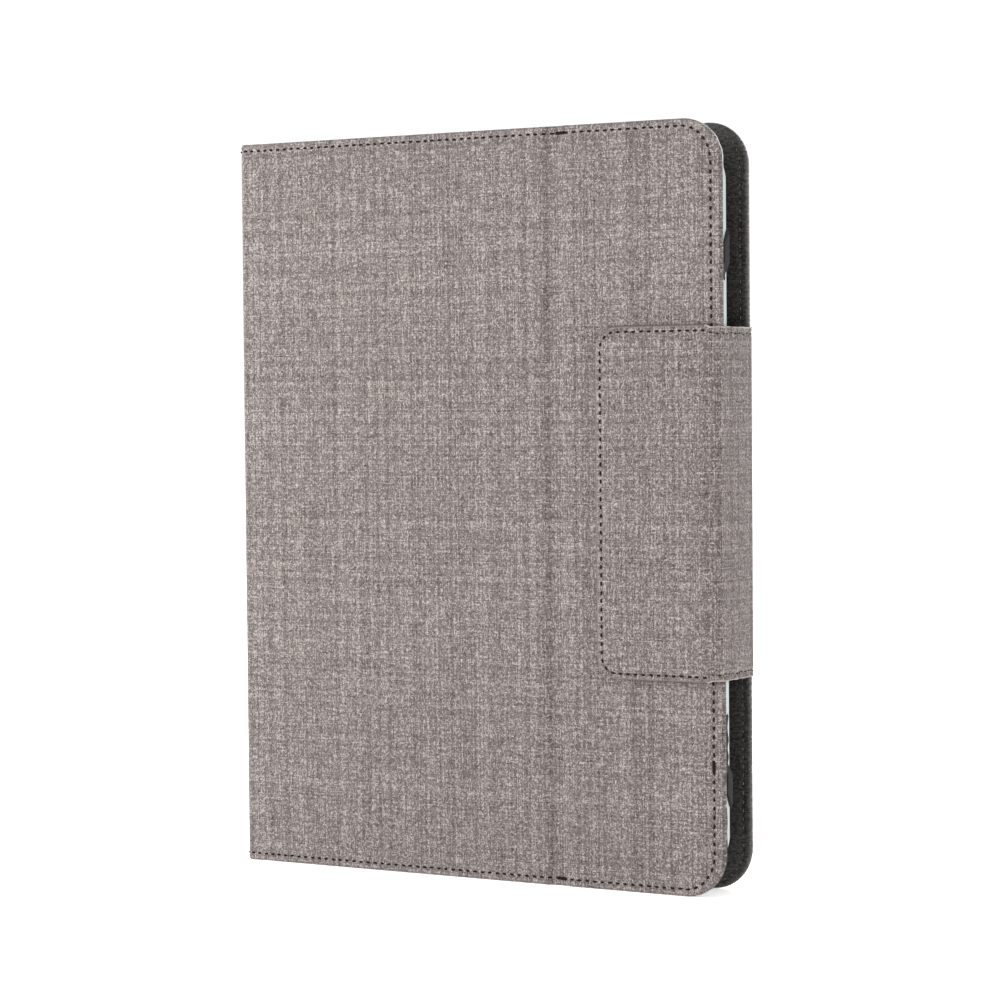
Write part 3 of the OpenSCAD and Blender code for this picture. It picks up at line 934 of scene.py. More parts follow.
def outline_walk(sheet: Sheet, side: float, end: float, s_from: float, s_to: float, inside: bool,
                 proud: float) -> tuple[Walk, float]:
    """A walk along a sheet near its edge: along the bottom, round the end and back along the top.

    Args:
        sheet: the sheet that carries the row.
        side: distance from the lower and upper edges.
        end: distance from the rounded end.
        s_from: where the walk starts and finishes.
        s_to: the sheet's rounded end.
        inside: whether the walk is on the inner face.
        proud: how far it runs above the face.

    Returns:
        The walk, which gives a point, the way along and the way out, and its length.
    """
    cut, ahead = sheet.cut, 1.0 if s_to > s_from else -1.0
    corner = cut.r1 if ahead > 0 else cut.r0
    flat = [Vector((s_from, cut.z0 + side))]
    for k in range(25):
        a = math.pi / 2 * k / 24
        flat.append(Vector((s_to - ahead * (corner - (corner - end) * math.sin(a)),
                            cut.z0 + corner - (corner - side) * math.cos(a))))
    middle = cut.z0 + cut.z1
    flat += [Vector((p.x, middle - p.y)) for p in reversed(flat)]
    marks = [0.0]
    for p, q in zip(flat, flat[1:]):
        marks.append(marks[-1] + (q - p).length)

    def solid(u: float) -> tuple[Vector, Vector]:
        """The walk's point in space, and the way out there."""
        k = min(max(bisect.bisect_right(marks, u) - 1, 0), len(flat) - 2)
        share = (u - marks[k]) / max(marks[k + 1] - marks[k], 1e-9)
        s, z = flat[k].lerp(flat[k + 1], share)
        squeeze = cut.narrow(s)
        z += squeeze if z < middle / 2 else -squeeze
        lift = sheet.crown(s, z) * (0.0 if inside else 1.0) if sheet.crown else 0.0
        depth = sheet.inner(s) + proud if inside else sheet.outer(s) + lift - proud
        out = Vector(sheet.path.point(s, z, 0.0)) - Vector(sheet.path.point(s, z, 1.0))
        return Vector(sheet.path.point(s, z, depth)), -out if inside else out

    def at(u: float) -> tuple[Vector, Vector, Vector]:
        """Point, way along and way out."""
        spot, out = solid(u)
        return spot, (solid(u + 0.2)[0] - solid(u - 0.2)[0]).normalized(), out
    return at, marks[-1]


def sweep(draft: MeshDraft, walk: Walk, start: float, stop: float, half_width: float, half_height: float,
          step: float = 2.0, wave: float = 0.0) -> None:
    """Adds a rounded bead along part of a walk.

    Args:
        draft: where it goes.
        walk: gives a point, the way along and the way out.
        start: where the bead begins along the walk.
        stop: where it ends.
        half_width: half its width across the walk.
        half_height: half its height along the way out.
        step: spacing of its rings.
        wave: how far it wanders to either side.
    """
    count, sides = max(2, round((stop - start) / step)), 10
    rows: list[list[int]] = []
    for k in range(count + 1):
        u = start + (stop - start) * k / count
        spot, along, out = walk(u)
        across = out.cross(along).normalized()
        spot = spot + across * (wave * math.sin(u * 0.9 + 0.7 * math.sin(u * 0.37)))
        taper = 0.35 if k in (0, count) else 1.0
        row = []
        for n in range(sides):
            a = 2 * math.pi * n / sides
            step_out = across * (math.cos(a) * half_width * taper) + out * (math.sin(a) * half_height * taper)
            row.append(draft.add(spot + step_out, (u, 4 * n / sides)))
        rows.append(row)
    draft.skin(rows)


# ---------------------------------------------------------------- covers


@dataclass
class Covers:
    """Back, spine and front: one cloth glued over boards, with a lining inside, folded at three places."""

    layout: Layout
    fold_radius: float = 2.2
    corner_radius: float = 15.0
    board_cloth: float = 1.72      # cloth and board together
    soft_cloth: float = 0.85       # cloth alone, where the board stops
    lining: float = 0.72
    soft_lining: float = 0.5
    lining_inset: float = 0.12
    lining_bite: float = 0.06      # how far the lining is pressed into the cloth's back
    seam_side: float = 2.6
    seam_front_end: float = 3.9
    seam_back_end: float = 2.9
    valley_half: float = 5.2
    valley_depth: float = 1.0
    hinge_step: float = 0.3       # the cloth lies lower beside the spine, where no board backs it
    hinge_width: float = 12.0
    lining_edge: Rolled = Rolled(0.02, 0.05, 1.08, 0.64)

    def __post_init__(self) -> None:
        """Lays out the path of the cloth."""
        lay = self.layout
        self.path = FoldPath(
            [(lay.edge_x, lay.back_y), (lay.spine_x, lay.back_y), (lay.spine_x, lay.front_y),
             (lay.edge_x, lay.front_y)], [self.fold_radius] * 2)
        self.back_fold, self.front_fold = self.path.fold_s
        self.mid_spine = (self.back_fold + self.front_fold) / 2
        self.front_split = self.front_fold + self.hinge_width + 6
        self.crease = self.path.length - (lay.edge_x - lay.crease_x)
        near = (2.0, 2.6, 3.2, 3.9)
        self.stops = [self.mid_spine, self.front_split]
        for fold in self.path.fold_s:
            self.stops += [fold + side * d for side in (-1, 1) for d in near]
            self.stops += [fold + self.fold_radius * HALF_FOLD * k / 4 for k in range(-4, 5)]
        marks = (0.0, 0.7, 1.4, 2.1, 2.7, 3.2, 3.7, 4.2, 4.7, 5.2, 5.7, 6.2, 7.0)
        self.stops += [self.crease + side * d for side in (-1, 1) for d in marks]
        self.stops += [self.front_fold + self.hinge_width + d for d in (-1.2, -0.6, 0.0, 0.6, 1.2)]

    def _softness(self, s: float) -> float:
        """1 where the cloth bends freely and 0 where a board backs it."""
        folds = max(1 - smooth(abs(s - fold), 2.4, 3.9) for fold in self.path.fold_s)
        return max(folds, 1 - smooth(abs(s - self.crease), 4.4, 6.4))

    def _sink(self, s: float) -> float:
        """How far the outer face lies below the flat of the cover."""
        past = s - self.crease
        wall = smooth(past, -self.valley_half, -self.valley_half + 2.6)
        valley = self.valley_depth * wall * (1 - smooth(past, self.valley_half - 4.0, self.valley_half + 0.8))
        board_at = self.front_fold + self.hinge_width
        beside = smooth(s, self.front_fold + 3.5, self.front_fold + 6.5)
        beside *= 1 - smooth(s, board_at - 1, board_at + 1)
        return valley + self.hinge_step * beside

    def _cloth_back(self, s: float) -> float:
        """Depth of the cloth's inner face."""
        return self._sink(s) + self.board_cloth + (self.soft_cloth - self.board_cloth) * self._softness(s)

    def _lining_back(self, s: float) -> float:
        """Depth of the lining's inner face."""
        flat = self._cloth_back(s) - self.lining_bite + self.lining
        return flat + (self.soft_lining - self.lining) * self._softness(s)

    def seam_end(self, zone: str) -> float:
        """Distance of a cover's stitches from its free edge."""
        return self.seam_back_end if zone == "back" else self.seam_front_end

    def cloth_sheet(self, zone: str, s0: float, s1: float, r0: float, r1: float) -> Sheet:
        """The cloth between two places on the path."""
        cut = Cut(s0, s1, 0.0, self.layout.height, r0, r1)
        return Sheet(self.path, cut, self._sink, self._cloth_back,
                     channel=Channel(self.seam_side, self.seam_end(zone)), stops=self.stops)

    def lining_sheet(self, zone: str, s0: float, s1: float, r0: float, r1: float) -> Sheet:
        """The lining between two places on the path."""
        inset = self.lining_inset
        cut = Cut(s0 + (inset if r0 else 0), s1 - (inset if r1 else 0), inset, self.layout.height - inset,
                  r0 - inset if r0 else 0, r1 - inset if r1 else 0)
        channel = Channel(self.seam_side - inset, self.seam_end(zone) - inset, 0.14, inside=True)
        return Sheet(self.path, cut, lambda s: self._cloth_back(s) - self.lining_bite, self._lining_back,
                     edge=self.lining_edge, channel=channel, stops=self.stops)

    def _bend(self, piece: bpy.types.Object, zone: str) -> None:
        """Bakes a piece's placement into its mesh, whichever zone it lies in."""
        if zone == "back":
            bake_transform(piece)
        elif zone == "hinge":
            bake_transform(piece)
        else:
            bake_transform(piece)

    def build(self) -> None:
        """Makes the cloth, the lining and the border stitching."""
        length, r = self.path.length, self.corner_radius
        zones = (("back", 0.0, self.mid_spine, r, 0.0), ("hinge", self.mid_spine, self.front_split, 0.0, 0.0),
                 ("front", self.front_split, length, 0.0, r))
        stands_for = {"back": ("back_fabric", "back_lining"), "hinge": ("spine_fabric", "spine_lining"),
                      "front": ("front_inner_fabric", "front_inner_lining")}
        for zone, s0, s1, r0, r1 in zones:
            cloth = self.cloth_sheet(zone, s0, s1, r0, r1).build("cloth_" + zone, Finish.CLOTH.material())
            lining = self.lining_sheet(zone, s0, s1, r0, r1).build("lining_" + zone, Finish.LINING.material())
            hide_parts(stands_for[zone][0])
            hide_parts(stands_for[zone][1])
            if zone == "front":
                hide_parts("front_inner_fabric", "front_outer_fabric")
                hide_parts("front_inner_lining", "front_outer_lining")
            for piece, slot, trim in ((cloth, "linen", 0.0), (lining, "lining", 2 * self.lining_inset)):
                self._bend(piece, zone)
        self._stitch()
        self._edge_beads()

    def _edge_beads(self) -> None:
        """Adds beads to the front cover's free edge: a fringe partly painted as highlight, and dark ragged bits.
        """
        length, r = self.path.length, self.corner_radius
        sheet = self.cloth_sheet("front", self.front_split, length, 0, r)
        run, arc = length - r - self.front_split, math.pi / 2 * r
        walk, total = outline_walk(sheet, 0.0, 0.0, self.front_split, length, True, -0.1)
        under = outline_walk(sheet, 0.25, 0.25, self.front_split, length, True, 0.8)[0]
        top, low = total - run - arc, run + arc
        # the first bead is the frayed fringe, drawn near white as painted highlight
        worn = (("edge_fringe_highlight_top", Finish.FRINGE, walk, top - 4.0, top + arc * 0.68, 0.2, 0.2),
                # these three are dark ragged beads, at the lower corner, lower down the edge and near its top
                ("edge_dark_bits_corner", Finish.LINT, walk, low - arc * 0.6, low + 16.0, 0.16, 0.14),
                ("edge_dark_bits_bottom", Finish.LINT, under, low + 27.0, low + 47.0, 0.44, 0.42),
                ("edge_dark_bits_top", Finish.LINT, under, top - 40.0, top - 34.0, 0.3, 0.3))
        for name, finish, way, start, stop, half_width, half_height in worn:
            draft = MeshDraft()
            sweep(draft, way, start, stop, half_width, half_height, 0.7, half_width * 0.5)
            piece = draft.build(name, finish.material(), 60)
            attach(piece, "front_outer")
            LOG.info("%s: %.0f mm", name, stop - start)

    def _stitch(self) -> None:
        """Sews the border, on the cloth and on the lining."""
        length, r = self.path.length, self.corner_radius
        crease_at = self.crease - self.front_split
        ends = {"front": (self.front_split, length), "back": (self.mid_spine, 0.0)}
        for zone, (s_from, s_to) in ends.items():
            low, high = min(s_from, s_to), max(s_from, s_to)
            radii = (0, r) if zone == "front" else (r, 0)
            for inside in (False, True):
                make = self.lining_sheet if inside else self.cloth_sheet
                sheet = make(zone, low, high, *radii)
                trim = self.lining_inset if inside else 0.0
                rounded = sheet.cut.s1 if zone == "front" else sheet.cut.s0
                walk, total = outline_walk(sheet, self.seam_side - trim, self.seam_end(zone) - trim, s_from,
                                           rounded, inside, -0.1 if inside else -0.02)
                shown = zone == "front" and not inside
                knots = (crease_at + 1, total - crease_at - 2, total * 0.5 - 86) if shown else ()
                row = Seam(length=1.3, width=0.42, seed=5) if inside else Seam(seed=11)
                draft = MeshDraft()
                row.sew(draft, walk, total, knots)
                name = "stitching_" + zone + ("_lining" if inside else "")
                piece = draft.build(name, (Finish.BOBBIN_THREAD if inside else Finish.THREAD).material(), 60)
                self._bend(piece, zone)
                LOG.info("%s: %.0f mm of seam", name, total)
        self._stitch_hinge()

    def _stitch_hinge(self) -> None:
        """Sews the two short rows that cross the front fold of the spine, above and below."""
        draft = MeshDraft()
        sheet = self.cloth_sheet("hinge", self.mid_spine, self.front_split, 0, 0)
        run = self.front_split - self.mid_spine
        for z in (self.seam_side, self.layout.height - self.seam_side):
            def at(u: float, z: float = z) -> tuple[Vector, Vector, Vector]:
                """Point, way along and way out."""
                s = self.mid_spine + u
                spot = Vector(self.path.point(s, z, sheet.outer(s) + 0.02))
                ahead = Vector(self.path.point(s + 0.2, z, 0)) - Vector(self.path.point(s - 0.2, z, 0))
                out = Vector(self.path.point(s, z, 0)) - Vector(self.path.point(s, z, 1))
                return spot, ahead.normalized(), out
            Seam(seed=3).sew(draft, at, run)
        piece = draft.build("stitching_hinge", Finish.THREAD.material(), 60)
        self._bend(piece, "hinge")


# ---------------------------------------------------------------- closing flap


@dataclass
class ClosingFlap:
    """The closing strap: a padded tongue, a soft strip round the edge and a patch sewn behind."""

    layout: Layout
    front_radius: float = 4.4
    rear_radius: float = 3.2
    corner_radius: float = 8.0
    edge_trim: float = 0.75        # how much closer to the covers the worn strip lies than a new one
    rear_trim: float = 0.45
    tongue_thick: float = 2.1
    strip_thick: float = 0.5
    patch_thick: float = 0.85
    lining: float = 0.25
    lining_bite: float = 0.08      # how far the lining is pressed into the cloth's back
    pad_gap: float = 4.2           # from the end of the padding to the middle of the front fold
    bolt_place: Point2 = (400, 0)  # where the flap is cut from the cloth, so that its weave differs
    seam_inset: float = 2.0
    strip_seam: float = 2.3
    binding_inset: float = 0.5
    waist: float = 0.7             # how much narrower the strip is than the tongue, at each side
    still: float = 2.6             # from the front corner to where the strip stops bending

    def __post_init__(self) -> None:
        """Lays out the path of the flap's cloth."""
        lay = self.layout
        patch_x = box_mm("flap_anchor")[0].x
        self.edge_x, self.rear_y = lay.outer_x - self.edge_trim, lay.rear_y - self.rear_trim
        self.path = FoldPath([(lay.tongue_x, lay.tongue_y), (self.edge_x, lay.tongue_y),
                              (self.edge_x, self.rear_y), (patch_x, self.rear_y)],
                             [self.front_radius, self.rear_radius])
        self.front_fold, self.rear_fold = self.path.fold_s
        self.middle = (self.front_fold + self.rear_fold) / 2
        self.pad_end = self.front_fold - self.pad_gap
        self.stops = [self.middle, *[self.pad_end + d for d in (-3, -2, -1.2, -0.6, 0, 0.6, 1.2, 2, 3)]]
        for fold, radius in zip(self.path.fold_s, (self.front_radius, self.rear_radius)):
            self.stops += [fold + radius * HALF_FOLD * k / 5 for k in range(-6, 7)]
        self.stops += [k * 3.0 for k in range(1, 14)]

    def _narrow(self, s: float) -> float:
        """How far each side of the flap is drawn in."""
        return self.waist * smooth(s, self.pad_end - 0.5, self.pad_end + 1.5) * (1 - smooth(
            s, self.rear_fold + 3, self.rear_fold + 8))

    def _outer(self, s: float) -> float:
        """Depth of the outer face."""
        step = smooth(s, self.pad_end - 0.8, self.pad_end + 0.8)
        step *= 1 - smooth(s, self.middle - 4, self.middle)
        return 0.35 * step

    def _inner(self, s: float) -> float:
        """Depth of the cloth's inner face."""
        pad = 1 - smooth(s, self.pad_end - 1.5, self.pad_end + 1.5)
        patch = smooth(s, self.rear_fold + 1.5, self.rear_fold + 4)
        thin = self.strip_thick
        return self._outer(s) + thin + (self.tongue_thick - thin) * pad + (self.patch_thick - thin) * patch

    def _crown(self, s: float, z: float) -> float:
        """How far the padding falls away towards the tongue's edges."""
        lay = self.layout
        from_side = min(z - lay.flap_z0, lay.flap_z1 - z)
        from_end = min(from_side, s, 60.0)
        pad = 1 - smooth(s, self.pad_end - 2, self.pad_end + 2)
        return 0.4 * pad * (1 - smooth(from_end, 0.0, 7.0))

    def _sheet(self, s0: float, s1: float, r0: float, r1: float, lining: bool) -> Sheet:
        """The flap's cloth or lining between two places."""
        lay, trim = self.layout, 0.7 if lining else 0.0
        cut = Cut(s0 + (trim if r0 else 0), s1 - (trim if r1 else 0), lay.flap_z0 + trim, lay.flap_z1 - trim,
                  r0 - trim if r0 else 0, r1 - trim if r1 else 0, narrow=self._narrow)
        if lining:
            return Sheet(self.path, cut, lambda s: self._inner(s) - self.lining_bite,
                         lambda s: self._inner(s) + self.lining - self.lining_bite,
                         edge=Rolled(0.1, 0.1, 0.1, 0.1), stops=self.stops, map_shift=self.bolt_place)
        return Sheet(self.path, cut, self._outer, self._inner, edge=Rolled(0.9, 0.9, 0.5, 0.5),
                     channel=Channel(self.seam_inset, self.seam_inset, 0.26, 0.9), stops=self.stops,
                     crown=self._crown, map_shift=self.bolt_place)

    def _bend(self, piece: bpy.types.Object, rear: bool) -> None:
        """Bakes a piece's placement into its mesh, at the front or the rear."""
        if rear:
            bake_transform(piece)
        else:
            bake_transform(piece)

    def build(self) -> None:
        """Makes the flap's cloth, lining, edges and stitching."""
        length, r, tall = self.path.length, self.corner_radius, self.layout.flap_z1 - self.layout.flap_z0
        halves = (("front", 0.0, self.middle, r, 0.0, ("tongue_fabric",), ("tongue_lining",),
                   ["cloth_front"]),
                  ("rear", self.middle, length, 0.0, r, ("gusset_fabric", "flap_anchor"), ("gusset_lining",),
                   ["cloth_back"]))
        for where, s0, s1, r0, r1, cloth_for, lining_for, under in halves:
            cloth = self._sheet(s0, s1, r0, r1, False).build("flap_cloth_" + where, Finish.CLOTH.material())
            lining = self._sheet(s0, s1, r0, r1, True).build("flap_lining_" + where, Finish.LINING.material())
            for piece, nodes, slot in ((cloth, cloth_for, "linen"), (lining, lining_for, "lining")):
                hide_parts(*nodes)
                self._bend(piece, where == "rear")
                LOG.info("%s: %.0f by %.0f mm", piece.name, s1 - s0, tall)
        self._board()
        self._trim()

    def _board(self) -> None:
        """Makes the board that stiffens the tongue."""
        low, high = box_mm("tongue_board")
        cut = Cut(4.0, self.pad_end - 3.0, low.z, high.z, 6.0, 0.0)
        board = Sheet(self.path, cut, lambda s: 0.75, lambda s: 1.75, edge=Rolled(0.1, 0.1, 0.1, 0.1))
        piece = board.build("tongue_stiffener", Finish.BOARD.material())
        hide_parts("tongue_board")
        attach(piece, "flap_tongue")
        LOG.info("tongue_stiffener: %.0f mm long", cut.s1 - cut.s0)

    def _trim(self) -> None:
        """Adds the coated fold round the tongue, the strip's folds as pale beads of painted highlight, and the
        stitches.
        """
        front = self._sheet(0, self.middle, self.corner_radius, 0, False)
        rear = self._sheet(self.middle, self.path.length, 0, self.corner_radius, False)
        pad_run = self.middle - self.pad_end
        inset = self.binding_inset
        walk, total = outline_walk(front, inset, inset, self.middle, 0.0, False, -1.0)
        draft = MeshDraft()
        sweep(draft, walk, pad_run - 0.4, total - pad_run + 0.4, 0.62, 1.0)
        self._finish(draft, "flap_binding", Finish.EDGE, False)
        # the pale beads along the strip's lower and upper edges are painted highlight on its rolled fold
        for name, sheet, s_to, from_rear in (("strip_fold_front", front, 0.0, False),
                                             ("strip_fold_rear", rear, self.path.length, True)):
            walk, total = outline_walk(sheet, 0.25, 0.25, self.middle, s_to, False, -0.25)
            stop = self.rear_fold + 3 - self.middle if from_rear else pad_run + 0.8
            draft = MeshDraft()
            sweep(draft, walk, 0.0, stop, 0.3, 0.34, 1.0, 0.07)
            sweep(draft, walk, total - stop, total, 0.3, 0.34, 1.0, 0.07)
            self._finish(draft, name, Finish.PALE_EDGE, from_rear)
        row = Seam(pitch=2.9, seed=5)
        walk, total = outline_walk(front, self.seam_inset, self.seam_inset, self.middle, 0.0, False, -0.12)
        draft = MeshDraft()
        row.sew(draft, lambda u: walk(u + pad_run), total - 2 * pad_run)
        self._finish(draft, "stitching_tongue", Finish.THREAD, False)
        faint = Seam(pitch=2.9, length=1.5, width=0.4, height=0.24, seed=9, stray=0.3)
        draft = MeshDraft()
        walk, total = outline_walk(front, self.strip_seam, self.strip_seam, self.middle, 0.0, False, -0.02)
        faint.sew(draft, walk, pad_run)
        faint.sew(draft, lambda u: walk(total - pad_run + u), pad_run)
        self._finish(draft, "stitching_strip", Finish.THREAD, False)
        draft = MeshDraft()
        walk, total = outline_walk(rear, self.strip_seam, self.strip_seam, self.middle, self.path.length,
                                   False, -0.02)
        faint.sew(draft, walk, total)
        self._finish(draft, "stitching_patch", Finish.THREAD, True)

    def _finish(self, draft: MeshDraft, name: str, finish: Finish, rear: bool) -> None:
        """Makes a trim piece and bakes its placement."""
        piece = draft.build(name, finish.material(), 60)
        self._bend(piece, rear)
        LOG.info("%s: %d points", name, len(piece.data.vertices))


# ---------------------------------------------------------------- tablet carrier


@dataclass
class TabletCarrier:
    """The pale plate behind the tablet, and four elastic loops round its corners."""

    corner_radius: float = 12.0
    edge_radius: float = 0.4
    rim: float = 5.0               # width of the raised border round the liner
    sunk: float = 0.45             # how far the plate lies lower where the liner covers it
    nearer: float = 0.6           # how much nearer the free edge the plate is pushed in use
    rib_pitch: float = 1.15
    strap_width: float = 8.5
    strap_thick: float = 0.95
    strap_bend: float = 0.6        # how soon a loop turns round the plate's edge
    slant: float = 5.0             # how far a loop runs on along the plate's edge as it passes over it

    def build(self) -> None:
        """Makes the plate and the straps."""
        low, high = box_mm("tablet_plate")
        high.x += self.nearer
        self.low, self.high = low, high
        width, radius = high.x - low.x, self.corner_radius
        path = FoldPath([(low.x, low.y), (high.x, low.y)], [])
        thick = high.y - low.y
        soft = Rolled(*[self.edge_radius] * 4)
        rim = self.rim + self.nearer

        def inner(s: float) -> float:
            """Depth of the tablet side, which is lower where the liner lies."""
            dip = self.sunk * smooth(s, rim - 0.9, rim - 0.4)
            return thick - dip * (1 - smooth(s, width - rim, width - rim + 0.5))
        plate = Sheet(path, Cut(0, width, low.z, high.z, radius, radius), lambda s: 0.0, inner, edge=soft,
                      step=30, rows=6, stops=[rim - 0.9, rim - 0.4, width - rim, width - rim + 0.5])
        plate = plate.build("plate_shell", Finish.PLATE.material())
        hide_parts("tablet_plate")
        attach(plate, "front_outer")
        LOG.info("plate_shell: %.0f by %.0f mm", width, high.z - low.z)
        for node in ("strap_spine_bottom", "strap_spine_top", "strap_edge_bottom", "strap_edge_top"):
            self._strap(node)

    def _strap(self, node: str) -> None:
        """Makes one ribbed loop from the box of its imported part."""
        low, high = box_mm(node)
        right, top = "edge" in node, "top" in node
        corner = Vector((self.high.x if right else self.low.x, 0, self.high.z if top else self.low.z))
        inward_x, inward_z = (-1 if right else 1), (-1 if top else 1)
        width = self.strap_width
        reach = (high.x - low.x) - 1.0 - width / math.sqrt(2)
        half, count = width / 2, 25
        draft = MeshDraft()
        outer_rows: list[list[int]] = []
        inner_rows: list[list[int]] = []
        for k in range(count + 1):
            v = -half + width * k / count
            rib = 0.5 + 0.5 * abs(math.cos(math.pi * v / self.rib_pitch))
            edge = math.sqrt(max(0.0, 1 - (abs(v) / half) ** 10))
            thick = self.strap_thick * (0.72 + 0.28 * rib) * edge + 0.05
            along = reach + v * math.sqrt(2)
            on_side = Vector((corner.x, 0, corner.z + inward_z * along))
            on_end = Vector((corner.x + inward_x * along, 0, corner.z))
            outer_rows.append(self._loop(draft, on_side, on_end, inward_x, inward_z, thick, v))
            inner_rows.append(self._loop(draft, on_side, on_end, inward_x, inward_z, 0.02, v))
        for a, b in zip(outer_rows, outer_rows[1:]):
            draft.strip(a, b, closed=True)
        for a, b in zip(inner_rows, inner_rows[1:]):
            draft.strip(b, a, closed=True)
        draft.strip(inner_rows[0], outer_rows[0], closed=True)
        draft.strip(outer_rows[-1], inner_rows[-1], closed=True)
        name = node.replace("strap", "elastic")
        piece = draft.build(name, Finish.ELASTIC.material(), 50)
        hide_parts(node)
        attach(piece, "front_outer")
        LOG.info("%s: %.0f mm from the corner", name, reach)

    def _loop(self, draft: MeshDraft, side: Vector, end: Vector, inward_x: int, inward_z: int, lift: float,
              v: float) -> list[int]:
        """One thread of a loop: over the plate, round its side edge, behind it and round its end edge.

        Args:
            draft: where its points go.
            side: where it meets the plate's side edge.
            end: where it meets the plate's end edge.
            inward_x: 1 or -1, towards the middle of the plate.
            inward_z: the same, for the height.
            lift: how far it lies above the plate.
            v: its place across the loop.

        Returns:
            The numbers of its points.
        """
        face, rear = self.high.y + lift, self.low.y + 1.0 - lift
        out_x, out_z = -inward_x * lift, -inward_z * lift
        soft = self.strap_bend
        points: list[tuple[float, float, float]] = []
        for k in range(9):
            t = k / 8
            points.append((end.x + (side.x - end.x) * t + out_x * t * 0.4, face,
                           end.z + (side.z - end.z) * t + out_z * (1 - t) * 0.4))
        lean_x, lean_z = inward_x * self.slant, inward_z * self.slant
        points.append((side.x + out_x, face - soft, side.z + lean_z * 0.15))
        points.append((side.x + out_x, rear + soft, side.z + lean_z * 0.85))
        for k in range(5):
            t = k / 4
            points.append((side.x + (end.x + lean_x - side.x) * t, rear,
                           side.z + lean_z + (end.z - side.z - lean_z) * t))
        points.append((end.x + lean_x * 0.85, rear + soft, end.z + out_z))
        points.append((end.x + lean_x * 0.15, face - soft, end.z + out_z))
        run, ring, before = 0.0, [], None
        for point in points:
            here = Vector(point)
            run += (here - before).length if before is not None else 0.0
            before = here
            ring.append(draft.add(point, (run, v)))
        return ring


# ---------------------------------------------------------------- keyboard


@dataclass
class Keyboard:
    """The slim keyboard's dished key caps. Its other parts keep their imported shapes."""

    cap_corner: float = 1.5
    cap_taper: float = 0.55
    cap_dish: float = 0.22

    def build(self) -> None:
        """Makes every key cap."""
        for node in sorted(frame["nodes"]):
            if node.endswith("_keys") or node.endswith("_key") or node == "space_bar":
                self._caps(node)

    def _islands(self, node: str) -> list[tuple[Vector, Vector]]:
        """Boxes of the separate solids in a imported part.

        Args:
            node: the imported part.

        Returns:
            Lowest and highest corner of each, in millimetres, in order of height.
        """
        work = bmesh.new()
        work.from_mesh(frame["nodes"][node].data)
        bmesh.ops.remove_doubles(work, verts=work.verts, dist=1e-6)
        left, found = set(work.verts), []
        while left:
            stack, group = [left.pop()], []
            while stack:
                vert = stack.pop()
                group.append(vert.co / MM)
                for edge in vert.link_edges:
                    other = edge.other_vert(vert)
                    if other in left:
                        left.remove(other)
                        stack.append(other)
            found.append((Vector(tuple(min(p[k] for p in group) for k in range(3))),
                          Vector(tuple(max(p[k] for p in group) for k in range(3)))))
        work.free()
        return sorted(found, key=lambda b: (b[0].z, b[0].x))

    def _caps(self, node: str) -> None:
        """Makes the caps of one packed group."""
        draft = MeshDraft()
        boxes = self._islands(node)
        for low, high in boxes:
            self._cap(draft, low, high)
        name = node.replace("_keys", "_caps").replace("_key", "_cap").replace("space_bar", "space_cap")
        piece = draft.build(name, Finish.CAP.material(), 50)
        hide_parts(node)
        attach(piece, body_of(node))
        LOG.info("%s: %d caps", name, len(boxes))

    def _cap(self, draft: MeshDraft, low: Vector, high: Vector) -> None:
        """Adds one cap: a tapered skirt, a rolled rim and a dished top that faces the user.

        Args:
            draft: where it goes.
            low: lowest corner of its box.
            high: highest corner of its box.
        """
        middle = (low + high) / 2
        half_x, half_z = (high.x - low.x) / 2, (high.z - low.z) / 2
        thick = high.y - low.y
        small = min(half_x, half_z)
        taper, dish = self.cap_taper, self.cap_dish
        rings = ((0.0, thick), (0.08, thick * 0.5), (taper * 0.6, 0.32), (taper * 0.85, 0.1),
                 (taper * 1.4, 0.0), (small * 0.45, dish * 0.5), (small * 0.8, dish))
        rows = []
        for inset, depth in rings:
            radius = max(self.cap_corner - inset * 0.4, 0.15)
            radius = min(radius, half_x - inset - 0.02, half_z - inset - 0.02)
            row = []
            for q, (sx, sz) in enumerate(((1, 1), (-1, 1), (-1, -1), (1, -1))):
                for k in range(5):
                    a = math.pi / 2 * (q + k / 4)
                    x = middle.x + sx * (half_x - inset - radius) + radius * math.cos(a)
                    z = middle.z + sz * (half_z - inset - radius) + radius * math.sin(a)
                    row.append(draft.add((x, low.y + depth, z), (x, z)))
            rows.append(row)
        draft.skin(rows)


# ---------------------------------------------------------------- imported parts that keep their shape


DRESSED: dict[str, Finish] = {
    "back_board": Finish.BOARD, "spine_board": Finish.BOARD, "front_inner_board": Finish.BOARD,
    "front_outer_board": Finish.BOARD,
    "keyboard_keepers": Finish.STEEL, "flap_keeper": Finish.STEEL, "keyboard_screws": Finish.DARK_STEEL,
    "charging_socket": Finish.STEEL, "tongue_magnets": Finish.NICKEL, "keyboard_magnets": Finish.NICKEL,
    "plate_pad": Finish.FOAM, "plate_liner": Finish.PILE, "keyboard_base": Finish.TRAY,
    "keyboard_deck": Finish.DECK, "dome_sheet": Finish.RUBBER, "keyboard_feet": Finish.RUBBER,
    "circuit_board": Finish.CIRCUIT, "bluetooth_module": Finish.CAN, "battery": Finish.POUCH,
    "status_lights": Finish.LIGHT_PIPE, "power_switch": Finish.CONTROL, "pair_button": Finish.CONTROL,
}


def dress_packed_parts() -> None:
    """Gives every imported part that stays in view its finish."""
    for node, finish in DRESSED.items():
        mesh = frame["nodes"][node].data
        mesh.materials.clear()
        mesh.materials.append(finish.material())
    LOG.info("dressed %d packed parts", len(DRESSED))


# ---------------------------------------------------------------- studio


